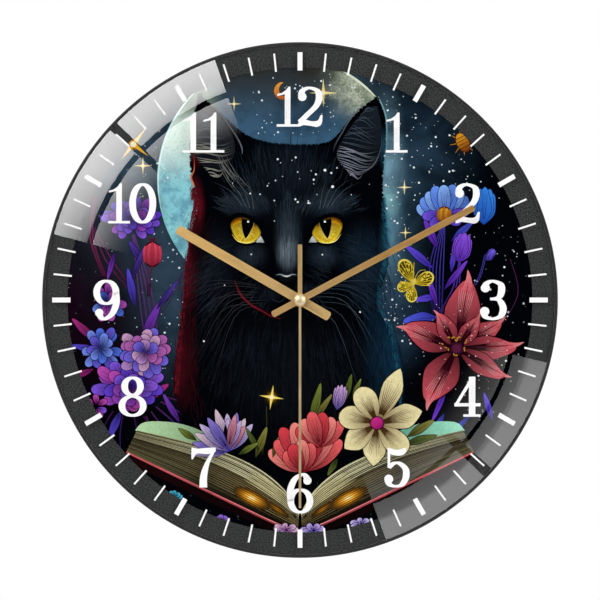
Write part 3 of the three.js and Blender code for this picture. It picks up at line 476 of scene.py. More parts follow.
class Sheet:
    """Collects printed shapes, then turns them into one piece."""

    def __init__(self, name, level=0.0):
        self.name = name
        self.vertices, self.faces, self.inks = [], [], []
        self.total = 0
        self.start(level)

    def start(self, level):
        """Begins a new motif at a level above the back of the card."""
        self.level, self.count = card + level, 0

    def lay(self, outline, near, far=None, start=None, end=None, surface=None, punched=False):
        """Adds a shape. Its ink runs from near at start to far at end. The post's hole stays clear."""
        points = []
        for point in outline:
            if not points or (points[-1] - Vector(point)).length > 1e-4:
                points.append(Vector(point))
        if (points[0] - points[-1]).length < 1e-4:
            points.pop()
        if sum(a.x * b.y - b.x * a.y for a, b in zip(points, points[1:] + points[:1])) < 0:
            points.reverse()
        if not punched and any(point.length < POST_HOLE / MM for point in points):
            return
        base = self.level + self.count * INK_STEP
        loops = [points] + ([oval((0, 0), POST_HOLE / MM, POST_HOLE / MM,
            sides=36)[::-1]] if punched else [])
        points = [point for loop in loops for point in loop]
        first, total = len(self.vertices), len(points)
        for rise in (0.0, INK_THICKNESS):
            for point in points:
                height = (surface(point) if surface else base) + rise
                self.vertices.append((point.x * MM, -height * MM, point.y * MM))
        top = [first + total + i for i in range(total)]
        low = [first + i for i in range(total)]
        for a, b, c in tessellate_polygon([[Vector((p.x, p.y, 0)) for p in loop] for loop in loops]):
            turned = (points[b] - points[a]).cross(points[c] - points[a]) < 0
            self.faces.append((top[a], top[c], top[b]) if turned else (top[a], top[b], top[c]))
            self.faces.append((low[a], low[b], low[c]) if turned else (low[a], low[c], low[b]))
        place = 0
        for loop in loops:
            for i in range(len(loop)):
                a, b = place + i, place + (i + 1) % len(loop)
                self.faces.append((low[a], low[b], top[b], top[a]))
            place += len(loop)
        self.inks += self._inks(points, colour(near), far and colour(far), start, end) * 2
        self.count += 1
        self.total += 1

    def _inks(self, points, near, far, start, end):
        if far is None:
            return [near] * len(points)
        start = Vector(start) if start is not None else points[0]
        end = Vector(end) if end is not None else max(points, key=lambda p: (p - start).length)
        along = end - start
        shares = [min(max((p - start).dot(along) / along.length_squared, 0), 1) for p in points]
        return [tuple(n + (f - n) * share for n, f in zip(near, far)) for share in shares]

    def finish(self, material=ink_material, slot="printed_card", stands_for=("dial_print",)):
        """Makes the mesh, its ink attribute and the piece, fixed to the clock's body."""
        mesh = bpy.data.meshes.new(self.name)
        mesh.from_pydata(self.vertices, [], self.faces)
        layer = mesh.attributes.new("ink", "FLOAT_COLOR", "POINT")
        layer.data.foreach_set("color", [value for ink in self.inks for value in ink])
        mesh.materials.append(material)
        piece = linked_object(self.name, mesh)
        declare(piece, "root", slot, *stands_for)
        highest = -min(v[1] for v in self.vertices) / MM - card
        print(self.name, self.total, "shapes,", len(mesh.polygons), "faces, top level", round(highest, 3))
        return piece


# %% [markdown]
# ## The night sky
# The ground of the picture is a disc with a hole for the post. It is black at the foot, with
# slate to the left and a blue glow to the right of the cat, and stars of several sizes.
# %% Sky material


def glow_share(tree, place, centre, radius, stretch=1.0):
    """1 at a point of the dial, falling smoothly to 0 at a radius in millimetres."""
    moved = calculate(tree, "SUBTRACT", place, (centre[0], 0, centre[1]), vector=True)
    flat = calculate(tree, "MULTIPLY", moved, (1, 0, stretch), vector=True)
    return fit_range(tree, calculate(tree, "LENGTH", flat, vector=True), 0.0, radius, 1.0, 0.0)


def multiply(tree, first, second):
    """The product of two sockets."""
    return calculate(tree, "MULTIPLY", first, second)


def star_dots(tree, place, spacing, size, chance):
    """Round dots, one at most in each cell, on a share of the cells."""
    cells = add_node(tree, "ShaderNodeTexVoronoi", {"Scale": 1 / spacing}, {"Vector": place})
    dot = fit_range(tree, cells.outputs["Distance"], size / spacing * 0.5, size / spacing, 1.0, 0.0)
    parts = add_node(tree, "ShaderNodeSeparateXYZ", links={"Vector": cells.outputs["Color"]})
    lit = calculate(tree, "LESS_THAN", parts.outputs["X"], chance)
    bright = multiply(tree, lit, parts.outputs["Y"])
    return multiply(tree, dot, bright)


def flat_place(tree):
    """Object coordinates in millimetres with the depth taken out."""
    return calculate(tree, "MULTIPLY", object_coordinates(tree), (1, 0, 1), vector=True)


def wash(tree, place, made, washes, pattern):
    """Lays soft washes of colour over made, each broken up by the pattern."""
    for centre, radius, stretch, hue in washes:
        share = multiply(tree, glow_share(tree, place, centre, radius, stretch), pattern)
        made = blend_colours(tree, share, made, colour(hue))
    return made


def print_material(name, base):
    """Matt ink on card, with no gloss of its own."""
    material, tree, shader = start_material(name, base, 0.85)
    shader.inputs["Specular IOR Level"].default_value = 0.0
    return material, tree, shader, flat_place(tree)


def night_sky():
    material, tree, shader, place = print_material("night_sky_print", "#05070c")
    clouds = noise(tree, place, 30, 6.0, Roughness=0.62, Distortion=0.7)
    patch = fit_range(tree, clouds, 0.3, 0.7, 0.3, 1.0)
    washes = (
        ((-84, 60), 80, 0.8, "#3c5264"),
        ((-72, 4), 40, 0.5, "#34475a"),
        ((-124, 6), 52, 0.6, "#1c0716"),
        ((58, 84), 56, 0.8, "#2a4054"),
        ((50, 40), 30, 0.45, "#3c5a70"),
        ((50, 78), 14, 0.25, "#7fa6ba"),
        ((50, 34), 13, 0.3, "#6f9cb4"),
        ((51, 57), 9, 0.8, "#b4f4f8"),
        ((54, -6), 30, 0.6, "#2c4258"),
        ((24, 128), 30, 1.2, "#4a6272"),
    )
    made = wash(tree, place, colour("#030408"), washes, patch)
    height = add_node(tree, "ShaderNodeSeparateXYZ", links={"Vector": place}).outputs["Z"]
    upper = fit_range(tree, height, -90.0, 50.0, 0.25, 1.0)
    for spacing, size, chance in ((4.2, 0.5, 0.5), (2.3, 0.26, 0.45), (8.0, 0.8, 0.4)):
        dots = multiply(tree, star_dots(tree, place, spacing, size, chance), upper)
        made = blend_colours(tree, dots, made, colour("#eef4ff"))
    tree.links.new(made, shader.inputs["Base Color"])
    return material


# %% Sky piece


def select_only(piece):
    """Makes a piece the only selected one, and the active one."""
    bpy.ops.object.select_all(action="DESELECT")
    piece.select_set(True)
    bpy.context.view_layer.objects.active = piece


def spun(name, points, edges, sides, centre, axis, smooth_angle, material):
    """Spins a line of points a full turn about an axis, and closes the seam."""
    mesh = bpy.data.meshes.new(name)
    mesh.from_pydata(points, edges, [])
    piece = linked_object(name, mesh)
    select_only(piece)
    bpy.ops.object.mode_set(mode="EDIT")
    bpy.ops.mesh.select_all(action="SELECT")
    bpy.ops.mesh.spin(steps=sides, angle=2 * math.pi, center=centre, axis=axis)
    bpy.ops.mesh.select_all(action="SELECT")
    bpy.ops.mesh.remove_doubles(threshold=1e-7)
    bpy.ops.mesh.normals_make_consistent(inside=False)
    bpy.ops.object.mode_set(mode="OBJECT")
    bpy.ops.object.shade_smooth_by_angle(angle=math.radians(smooth_angle))
    piece.data.materials.append(material)
    print(name, len(piece.data.polygons), "faces")
    return piece


def turned_piece(name, profile, sides, material, body, slot, node):
    """Spins a closed profile of (radius, distance from the wall) points about the dial's axis."""
    points = [(radius, -depth, 0.0) for radius, depth in profile]
    edges = [(i, (i + 1) % len(points)) for i in range(len(points))]
    piece = spun(name, points, edges, sides, (0, 0, 0), (0, 1, 0), 30, material)
    declare(piece, body, slot, node)
    return piece


SKY_TOP = CARD_BACK + 0.1 * MM
sky_profile = [(POST_HOLE, CARD_BACK), (CARD_RADIUS, CARD_BACK), (CARD_RADIUS, SKY_TOP),
    (POST_HOLE, SKY_TOP)]
turned_piece("picture_sky", sky_profile, 180, night_sky(), "root", "printed_card", "dial_print")

# %% [markdown]
# ## The moon
# A great moon stands behind the cat's head: cyan with pale seas on the left, dark slate
# between the ears, and a pale cratered crescent on the right, up to the cat's own edge.
# %% Moon

MOON_CENTRE = (-9.9, 69.5)
MOON_RADIUS = 73.3
random.seed(7)


def moon_print():
    material, tree, shader, place = print_material("moon_print", "#3c5f7d")
    seas = fit_range(tree, noise(tree, place, 9, 5.0, Roughness=0.6), 0.42, 0.62)
    fine = noise(tree, place, 1.6, 5.0)
    parts = add_node(tree, "ShaderNodeSeparateXYZ", links={"Vector": place})
    cyan = blend_colours(tree, seas, colour("#93d3de"), colour("#6fa9bd"))
    pale_top = fit_range(tree, parts.outputs["Z"], 62.0, 96.0)
    cyan = blend_colours(tree, pale_top, cyan, colour("#d6e6dc"))
    cyan = blend_colours(tree, fit_range(tree, parts.outputs["Z"], 102.0, 114.0), cyan, colour("#77806f"))
    cyan = blend_colours(tree, fit_range(tree, fine, 0.5, 0.7, 0.0, 0.4), cyan, colour("#5f9fb4"))
    height = fit_range(tree, parts.outputs["Z"], 92.0, 136.0)
    slate = blend_colours(tree, height, colour("#3f6280"), colour("#34332f"))
    slate = blend_colours(tree, fit_range(tree, seas, 0.0, 1.0, 0.0, 0.3), slate, colour("#24384a"))
    left = fit_range(tree, parts.outputs["X"], -56.0, -44.0)
    made = blend_colours(tree, left, cyan, slate)
    pale = blend_colours(tree, seas, colour("#c8cdb8"), colour("#7f8a74"))
    pale = blend_colours(tree, fit_range(tree, fine, 0.45, 0.65, 0.0, 0.6), pale, colour("#5d685c"))
    right = glow_share(tree, place, (42, 126), 44, 1.2)
    made = blend_colours(tree, fit_range(tree, right, 0.1, 1.0), made, pale)
    tree.links.new(made, shader.inputs["Base Color"])
    return material


moon = Sheet("picture_moon", 0.11)
moon_edge = [Vector(MOON_CENTRE) + direction(a) * MOON_RADIUS for a in range(40, 233, 3)]
moon.lay(moon_edge + [Vector((-40, 0)), Vector((20, 20)), Vector((44, 66))], "#9bdbe4")
moon.finish(moon_print())

rim = Sheet("picture_moon_rim", 0.126)
for low, high, width, ink in ((40, 66, 1.3, "#e6ecd8"), (130, 196, 1.1, "#d7f2f2")):
    arc_line = [Vector(MOON_CENTRE) + direction(a) * (MOON_RADIUS - width / 2) for a in range(low, high + 1,
        2)]
    rim.lay(band(arc_line, [0.2, width, width, 0.2], 1), ink)
rim.lay(band([(45.6, 118.6), (49.8, 107.6), (50.6, 93.9), (49.6, 78.5), (48.4, 67.2)],
    [0.3, 0.9, 0.7, 0.5, 0.1]), "#8fc0cc", "#3f7890")
rim.lay(band([(49.0, 62.0), (51.0, 48.0), (51.6, 34.0), (51.0, 18.0)], [0.1, 1.0, 0.8, 0.1]), "#4f9ab0",
    "#2a5a78")
for _ in range(34):
    spot = (random.uniform(16, 46), random.uniform(116, 134))
    if (Vector(spot) - Vector(MOON_CENTRE)).length < MOON_RADIUS - 3:
        size = random.uniform(0.3, 1.1)
        rim.lay(oval(spot, size, size * 0.8, 40, 14), "#6f7a68", "#b9beaa")
for _ in range(14):
    angle, radius = random.uniform(176, 205), random.uniform(56, 70)
    spot = Vector(MOON_CENTRE) + direction(angle) * radius
    size = random.uniform(0.4, 1.4)
    rim.lay(oval(spot, size, size * 0.75, angle, 14), "#6fa9bd", "#9fd6df")
rim.finish()

# %% [markdown]
# ## Small lights in the sky
# Gold four-pointed stars and an orange crescent hang between the ears and beside the head,
# among white dots that thicken towards the upper right.
# %% Stars and crescent

lights = Sheet("picture_star_lights", 0.17)
for centre, reach, turn, hue in (
    ((-38.4, 114.2), 4.6, 0, "#d9cf9c"), ((13.6, 120.6), 8.4, 0, "#f6e39a"),
    ((-91.5, 78.2), 5.4, 0, "#f3dc86"),
    ((-97.1, 90.7), 11.5, 52, "#f4b52c"), ((60.8, 65.6), 4.6, 0, "#efe0b0"),
    ((61.4, 39.2), 4.0, 0, "#f0dc96"),
):
    lights.start(0.17)
    lights.lay(oval(centre, reach * 0.3, reach * 0.3), "#8a6a34")
    lights.lay(star(centre, reach, reach * 0.15, 4, turn), hue)
    lights.lay(oval(centre, reach * 0.15, reach * 0.15), "#fff6d8")
lights.start(0.17)
crescent = [Vector((-9.9, 121.8)) + direction(a) * 5.2 for a in range(100, 321, 20)]
crescent += [Vector((-8.1, 122.6)) + direction(a) * 4.2 for a in range(310, 109, -20)]
lights.lay(crescent, "#f0a23c", "#c8602a")
for low, high, floor_level, ceiling, count in ((48, 118, 52, 122, 150), (48, 66, -30, 52, 60),
    (-84, -62, -46, 50, 46),
                                               (-30, 44, 96, 130, 60), (-104, -70, 58, 108, 26),
                                               (100, 128, -70, 60, 40)):
    for _ in range(count):
        spot = Vector((random.uniform(low, high), random.uniform(floor_level, ceiling)))
        size = random.choice((0.2, 0.28, 0.28, 0.4, 0.62))
        if spot.length < 133:
            lights.start(0.17)
            lights.lay(oval(spot, size, size, sides=10), "#eef4fb")
lights.finish()

# %% [markdown]
# ## The cat
# The cat is one black silhouette with pointed ears. Broad soft lights are washed into it
# first: red down the left edge, blue-grey on the nose, brow and cheeks, teal down the right.
# Hundreds of fine tapered hairs then follow the form.
# %% Silhouette

CAT_OUTLINE = [
    (-58.7, 119.5), (-58.7, 119.5), (-62.6, 101), (-63.6, 85.2), (-62.8, 71.8), (-59.2, 58.4),
    (-62.2, 42.7),
    (-64.5, 31.7), (-66.4, 14), (-67.4, 0.9), (-70.9, -25.9), (-73.3, -48.5), (-68.5, -68.3), (-60, -88),
    (-10, -96), (56, -88), (60.5, -60), (59.3, -39.2), (57, -25.9), (50.3, -14.8), (44.8, -3.8),
    (45.9, 4.9),
    (50.3, 18.3), (50.3, 36.3), (49.2, 49.7), (47.6, 67.2), (48.3, 78.5), (49.4, 93.9), (48.8, 107.3),
    (44.8, 117.4), (44.8, 117.4), (36.9, 112.2), (27.9, 103.1), (21.5, 95.1), (14.9, 91.2), (0, 90.1),
    (-18.6, 91.6), (-32, 96.2), (-46.5, 108.6), (-58.7, 119.5),
]


def black_fur():
    material, tree, shader, place = print_material("black_fur_print", "#05060a")
    stretched = calculate(tree, "MULTIPLY", place, (1, 1, 0.11), vector=True)
    strands = noise(tree, stretched, 0.9, 4.0, Roughness=0.6, Distortion=0.5)
    strand = fit_range(tree, strands, 0.36, 0.66, 0.45, 1.0)
    washes = (
        ((-6, -44), 50, 0.8, "#0d1015"), ((-7, 72), 30, 0.8, "#141b26"), ((-48, 22), 17, 0.6, "#181d26"),
        ((37, 22), 18, 0.6, "#1b2a3a"), ((-32, 56), 19, 1.7, "#2b3543"), ((17, 56), 19, 1.7, "#2b3746"),
        ((-29, 26), 13, 1.2, "#2a333f"), ((14, 26), 13, 1.2, "#2a3644"), ((-7, 36), 10, 0.36, "#3a4552"),
        ((-7.3, 28), 8.0, 0.6, "#7c8996"), ((-17, 4), 10, 1.2, "#1d232c"), ((4, 4), 10, 1.2, "#1f2833"),
        ((54, -30), 22, 0.5, "#143650"), ((51, 30), 6, 0.2, "#2a5a74"), ((50, 88), 5, 0.3, "#2a5c74"),
        ((-62, 54), 8, 0.36, "#8c1c2a"), ((-67, 16), 9, 0.3, "#6a1420"), ((-72, -34), 15, 0.4, "#4c0e1a"),
        ((-60, 88), 7, 0.5, "#5a1018"),
    )
    made = wash(tree, place, colour("#030408"), washes, strand)
    dots = star_dots(tree, place, 9.0, 0.5, 0.35)
    made = blend_colours(tree, dots, made, colour("#dfe8f2"))
    tree.links.new(made, shader.inputs["Base Color"])
    return material


cat = Sheet("picture_cat", 0.215)
cat_line = smooth(CAT_OUTLINE, 6)
cat.lay(cat_line, "#04050a", punched=True)
for i, point in enumerate(cat_line):
    if point.y > -70:
        out = (cat_line[(i + 1) % len(cat_line)] - cat_line[i - 1]).normalized()
        normal = Vector((out.y, -out.x))
        for k in range(5):
            root = point - normal * -0.6 + out * random.uniform(-1.5, 1.5)
            tip = root - normal * random.uniform(1.0, 2.4) - Vector((0, random.uniform(0.4, 1.8)))
            cat.start(0.216)
            cat.lay(band([root, root.lerp(tip, 0.5), tip], [0.7, 0.45, 0.05], 1), "#05060b")
cat.finish(black_fur())

# %% Ears and fur strokes

fur = Sheet("picture_fur", 0.232)
HAIR_LAYERS = 90


def hair(root, degrees, length, width, near, far, bend=0.0):
    """One tapered hair. bend turns its tip."""
    root = Vector(root)
    middle = root + direction(degrees) * length * 0.5
    tip = middle + direction(degrees + bend) * length * 0.5
    if fur.count > HAIR_LAYERS:
        fur.start(0.25)
    fur.lay(band([root, middle, tip], [width * 0.4, width, 0.06], 2), near, far)


def brush(path, degrees, spread, length, count, width, near, far, scatter=2.0, bend=0.0):
    """Hairs rooted along a path; their direction turns from the first angle to the second."""
    line = smooth(path, 8, closed=False)
    for i in range(count):
        share = random.random()
        root = line[int(share * (len(line) - 1))]
        root = root + Vector((random.gauss(0, scatter), random.gauss(0, scatter)))
        angle = degrees[0] + (degrees[1] - degrees[0]) * share + random.uniform(-spread, spread)
        size = length * random.uniform(0.6, 1.25)
        hair(root, angle, size, width * random.uniform(0.6, 1.3), near, far, bend)


def ear(inner, outer, ground, rim_line, count, dim, bright):
    """A dark hollow crossed by long wavy hairs, the lowest ones the brightest."""
    low_edge, high_edge = smooth(inner, 8, closed=False), smooth(outer, 8, closed=False)
    fur.lay(low_edge + high_edge[::-1], "#090b10", ground, low_edge[0], low_edge[-1])
    for k in range(count):
        share = (k + random.uniform(-0.3, 0.3)) / count
        share = min(max(share, 0.0), 1.0)
        first = low_edge[int(share * (len(low_edge) - 1))]
        last = high_edge[int(min(share * random.uniform(0.7, 1.25), 1.0) * (len(high_edge) - 1))]
        sag = (1 - share) * random.uniform(-3.4, -1.6) + share * random.uniform(-0.8, 0.8)
        wave = random.uniform(0.6, 1.8)
        line = [first, first.lerp(last, 0.3) + Vector((0, sag + wave)),
            first.lerp(last, 0.68) + Vector((0, sag - wave * 0.4)), last]
        ink = bright if share < 0.5 else dim
        thick = 0.6 if share < 0.5 else 0.42
        fur.lay(band(line, [0.1, thick, thick * 0.8, 0.08]), ink, "#1a1d24", first, last)
    fur.lay(band(rim_line, [0.1, 0.7, 0.8, 0.7, 0.1]), "#2c3038", "#6c7079")


ear([(-52, 72.5), (-60.4, 83), (-60.8, 92), (-59.6, 100), (-57.4, 110)],
    [(-44, 76), (-38.5, 84), (-38.5, 93), (-44, 103), (-52, 111)],
    "#2c3038", [(-49.4, 113.4), (-43.1, 104.2), (-36.8, 94.9), (-33.9, 88.7), (-33.7, 84.9)], 26, "#666b74",
    "#aba69b")
ear([(29, 73.5), (21.5, 83), (24, 92), (30.5, 102), (39, 112)],
    [(36, 73), (45.6, 80), (47.4, 90), (47.4, 102), (45, 113)],
    "#1a212b", [(19.1, 86.0), (20.8, 91.1), (24.2, 96.9), (29.1, 105.1), (37.4, 114.2)], 30, "#4c5664",
    "#9698aa")
fur.lay(band([(31, 74.6), (38, 75.2), (43.5, 79.6), (47.0, 88), (47.6, 97)], [0.1, 0.5, 0.6, 0.4, 0.1]),
    "#6f7282", "#3a3f4c")
brush([(-50, 86), (-44, 84)], (286, 306), 6, 22, 12, 0.3, "#4a4c4e", "#8c8a84", 2.0, 14)
fur.start(0.25)
# brow and forehead, fanning up from the nose bridge
brush([(-34, 62), (-7, 72), (20, 62)], (116, 64), 9, 12, 260, 0.24, "#0b0f15", "#28323e", 6.0)
brush([(-42, 53), (-30, 57), (-14, 50)], (160, 105), 9, 8, 130, 0.24, "#10151c", "#343e49", 2.2)
brush([(-1, 50), (16, 57), (30, 53)], (75, 20), 9, 8, 130, 0.24, "#10151c", "#36424e", 2.2)
brush([(-7, 20), (-7, 38), (-7, 58)], (90, 90), 8, 8, 80, 0.22, "#1a222b", "#3c4853", 2.6)
# cheeks, falling away from the muzzle
brush([(-38, 32), (-50, 20), (-48, 0)], (196, 232), 11, 12, 220, 0.26, "#0a0d12", "#272f39", 4.0)
brush([(23, 32), (34, 20), (32, 0)], (-16, -52), 11, 12, 220, 0.26, "#0a0d12", "#26384a", 4.0)
brush([(-22, 22), (-26, 10), (-18, -4)], (200, 245), 12, 8, 90, 0.22, "#0d1117", "#2a323b", 3.0)
brush([(7, 22), (12, 10), (4, -4)], (-20, -65), 12, 8, 90, 0.22, "#0d1117", "#2a3540", 3.0)
# red light down the left edge, teal down the right one
brush([(-61.5, 66), (-60, 58), (-63, 42), (-66, 14), (-70, -26), (-72, -52)], (246, 268), 10, 4.4, 460, 0.3,
    "#3a0a14", "#7c1c2a", 0.8)
brush([(-57, 50), (-61, 20), (-65, -20), (-63, -60)], (250, 280), 10, 10, 260, 0.26, "#10080c", "#3f0d16",
    3.4)
brush([(48, 60), (49, 30), (45, 2), (54, -20), (58, -60)], (296, 276), 10, 4.4, 300, 0.26, "#0f2a38",
    "#2c6a84", 0.7)
brush([(42, 40), (43, 10), (46, -20), (50, -60)], (292, 268), 10, 12, 240, 0.26, "#0a1018", "#142e42", 4.0)
# chest, in falling locks
brush([(-50, -14), (-24, -22), (4, -24), (36, -16)], (248, 290), 8, 16, 340, 0.3, "#08090d", "#1d222a", 7.0)
brush([(-46, -38), (-10, -44), (40, -38)], (250, 288), 8, 15, 300, 0.3, "#07080b", "#1a1d24", 7.0)
fur.start(0.232)
fur.lay(band([(-61.8, 84), (-61.6, 76), (-63.4, 71.6), (-61.8, 67), (-61.2, 62)],
    [0.1, 0.7, 0.9, 0.7, 0.1]), "#a02a26", "#f08a52")
fur.finish()

# %% [markdown]
# ## The face
# The eyes are the brightest thing on the dial. Each is the same almond laid several times,
# smaller and yellower, with a wedge pupil hanging from the lid and a small glint. The right
# eye is the left one mirrored about the face's own axis.
# %% Eyes

FACE_AXIS = -7.85
face = Sheet("picture_face", 0.325)
ALMOND = [(-39.7, 40.2), (-40.5, 43.6), (-39.2, 46.7), (-36.3, 48.4), (-33.4, 48.4), (-30.0, 47.6),
    (-26.4, 45.4),
          (-23.9, 42.2), (-22.7, 39.2), (-23.4, 36.8), (-25.4, 34.9), (-28.6, 33.2), (-32.0, 32.7),
          (-34.9, 33.7), (-37.8, 36.4)]
PUPIL = [(-33.9, 47.4), (-33.9, 47.4), (-34.0, 44.5), (-33.7, 41.7), (-33.0, 38.5), (-31.8, 35.6),
    (-31.8, 35.6), (-30.2, 37.5),
         (-28.6, 40.4), (-27.4, 43.2), (-26.9, 46.0), (-26.9, 46.0)]
LID = [(-41.2, 42.0), (-40.6, 46.4), (-37.4, 49.0), (-33.0, 49.4), (-28.6, 47.6), (-24.6, 44.2),
    (-21.8, 39.6)]
SHADOWS = ((3.6, "#c8920e"), (2.7, "#a36a0a"), (1.8, "#764608"), (0.9, "#452806"))
CORNER = [(-23.4, 38.2), (-23.4, 38.2), (-21.6, 35.2), (-20.8, 33.4), (-20.8, 33.4), (-25.6, 33.6),
    (-25.6, 33.6)]


def eye(mirrored):
    """One eye. The points are given for the left one."""

    def place(points, scale=1.0, centre=(-32.0, 38.6)):
        spots = [(centre[0] + (x - centre[0]) * scale, centre[1] + (y - centre[1]) * scale) for x,
            y in points]
        return [(2 * FACE_AXIS - x, y) for x, y in spots] if mirrored else spots

    top, foot = place([(-32, 47.5), (-34, 34)])
    face.start(0.325)
    face.lay(smooth(place(ALMOND, 1.22), 4), "#020305")
    face.lay(smooth(place(CORNER), 3), "#d5dadb", "#8f9698")
    face.lay(smooth(place(ALMOND, 1.0), 4), "#1c1206")
    for scale, high, low in ((0.98, "#2e1a04", "#d9a514"), (0.92, "#4a2c06", "#f6dc3c"),
        (0.83, "#5c3807", "#efcb2a"),
                             (0.7, "#6b4308", "#f0ce30"), (0.55, "#7c500a", "#f3d640")):
        face.lay(smooth(place(ALMOND, scale), 4), high, low, top, foot)
    middle = Vector(place([(-31.6, 39.6)])[0])
    for k in range(44):
        aim = k * 360 / 44 + random.uniform(-3, 3)
        inner, outer = random.uniform(2.8, 4.0), random.uniform(4.8, 6.2)
        line = [middle + direction(aim) * inner, middle + direction(aim) * outer]
        face.lay(band(line, [0.08, 0.34], 1), *random.choice((("#f8e468", "#c48f12"),
            ("#a86f0a", "#7a4a06"))))
    for drop_mm, ink in SHADOWS:
        under = [(x * 0.9 - 3.2, y - drop_mm) for x, y in LID[1:-1]]
        face.lay(band(place(under), [0.2, 1.6, 1.9, 1.6, 0.2]), ink)
    face.lay(band(place([(-39.6, 38.4), (-36.0, 34.2), (-30.0, 33.2), (-25.2, 34.6)]),
        [0.1, 0.55, 0.5, 0.1]), "#fdf09a")
    face.lay(smooth(place(PUPIL, 1.1, (-31.6, 43)), 4), "#5a3a08", "#f8e884", top, foot)
    face.lay(smooth(place(PUPIL), 4), "#030303")
    face.lay(band(place(LID), [0.5, 1.9, 2.4, 2.4, 2.2, 1.7, 0.5]), "#030407")
    face.lay(oval(place([(-30.2, 45.6)])[0], 0.62, 0.6, sides=16), "#ffffff")


eye(False)
eye(True)

# %% Nose, mouth and whiskers

NOSE_X = -7.8
face.start(0.325)
face.lay(smooth([(NOSE_X - 6.0, 14.4), (NOSE_X - 6.0, 14.4), (NOSE_X, 15.0), (NOSE_X + 6.0, 14.4),
                 (NOSE_X + 6.0, 14.4), (NOSE_X + 2.4, 10.4), (NOSE_X, 8.6), (NOSE_X - 2.4, 10.4)], 3),
         "#14171c", "#050608", (NOSE_X, 15.5), (NOSE_X, 9.4))
face.lay(band([(-13.9, 14.6), (-11.4, 14.9), (-7.8, 13.8), (-4.4, 14.9), (-2.0, 14.6)],
    [0.15, 0.7, 1.1, 0.7, 0.15]),
         "#8f99a3")
face.lay(band([(-10.6, 14.3), (-7.8, 13.8), (-5.2, 14.3)], [0.1, 0.7, 0.1]), "#f2f5f7")
face.lay(band([(-7.8, 8.8), (-7.8, 4.2), (-7.8, 1.6)], [0.5, 0.4, 0.2]), "#222932")
face.lay(band([(-7.8, 1.8), (-12.2, -1.2), (-17.6, 1.6)], [0.4, 0.6, 0.1]), "#2a323c")
for width, ink in ((3.0, "#14050a"), (2.2, "#22070c"), (1.4, "#3a0c14"), (0.6, "#741a26")):
    face.lay(band([(-38.1, 11.6), (-35, 3.8), (-28.8, -2.6), (-22.6, -6.1), (-16.9, -9.3), (-11, -11)],
                  [0.1, width, width, width, width * 0.8, 0.1]), ink)
for side, start, near, far in ((-1, -21.0, "#3f3d42", "#241c20"), (1, 5.5, "#46525e", "#1b2733")):
    for k in range(11):
        root = Vector((start + side * random.uniform(-3, 9), 9.0 - 1.3 * k + random.uniform(-0.8, 0.8)))
        reach, fall = random.uniform(40, 54) - 1.6 * k, 1.0 + 5.4 * k * random.uniform(0.8, 1.15)
        middle = root + Vector((side * reach * 0.5, 3.0 - fall * 0.2))
        tip = root + Vector((side * reach, 1.0 - fall))
        face.lay(band([root, middle, tip], [0.1, 0.3, 0.06]), near, far)
for side, start in ((-1, -27.0), (1, 11.4)):
    for k in range(4):
        root = Vector((start + side * 2.2 * k, 53.0 + 0.6 * k))
        tip = root + Vector((side * (8 + 3.5 * k), 22 - 2.5 * k))
        face.lay(band([root, root.lerp(tip, 0.5) + Vector((-side * 1.6, 2.0)), tip], [0.3, 0.22, 0.05]),
            "#5a646f", "#242c36")
face.start(0.40)
for _ in range(26):
    spot = (random.gauss(-2, 20), random.uniform(56, 84))
    size = random.choice((0.22, 0.3, 0.42, 0.6))
    face.lay(oval(spot, size, size, sides=10), "#eef4fb")
for spot, size in (((14.5, 75.6), 0.8), ((18.2, 74.0), 0.55), ((19.0, 66.0), 0.8), ((-29, 62), 0.5),
    ((-44.0, 27.0), 0.4),
                   ((-28.4, 26.6), 0.45), ((13.0, 26.4), 0.5), ((35.0, -7.0), 0.5), ((-56.0, -24.0), 0.5)):
    face.lay(oval(spot, size, size, sides=12), "#ffffff")
face.finish()

# %% [markdown]
# ## Flowers on both sides
# Three ways of setting petals give most flowers here. A cluster is rings of round petals laid
# inwards, as a peony; a fan opens up from one base, as a crocus; and a bud is closed. Each
# petal has a dark edge, a colour run and fine veins.
# %% Flower tools


def bearing(step):
    """The angle of a step, in degrees from +x."""
    return math.degrees(math.atan2(step.y, step.x))


def edged_petal(sheet, base, aim, length, width, near, far, edge, fullness=0.62, curl=0.0, blunt=True,
    veins=3):
    """A petal with a dark edge, its own colour run and vein lines."""
    sheet.lay(petal(base, aim, length + 0.35, width + 0.7, fullness, curl, blunt), edge)
    sheet.lay(petal(base, aim, length, width, fullness, curl, blunt), near, far, base)
    for k in range(veins):
        offset = (k - (veins - 1) / 2) / max(veins, 1) * math.degrees(math.atan(width / length)) * 1.1
        start = Vector(base) + direction(aim + offset) * length * 0.16
        end = Vector(base) + direction(aim + offset * 0.9 + curl * 22) * length * 0.82
        sheet.lay(band([start, end], [0.34, 0.07], 1), edge)


def cluster(sheet, level, centre, rx, rz, inks, edge, width=0.40,
    rings=((12, 0.26, 1.0), (9, 0.06, 0.76), (6, 0.0, 0.5))):
    """A peony: rings of round petals, the outer ones first."""
    sheet.start(level)
    for count, inner, outer in rings:
        turn = random.uniform(0, 360)
        for k in range(count):
            step = direction(turn + 360 * k / count + random.uniform(-13, 13)) * random.uniform(0.86, 1.06)
            base = Vector((centre[0] + step.x * rx * inner, centre[1] + step.y * rz * inner))
            tip = Vector((centre[0] + step.x * rx * outer, centre[1] + step.y * rz * outer))
            near, far = random.choice(inks)
            along = tip - base
            edged_petal(sheet, base, bearing(along), along.length, width * min(rx, rz), near, far, edge,
                0.64,
                        random.uniform(-0.14, 0.14), True, 2)


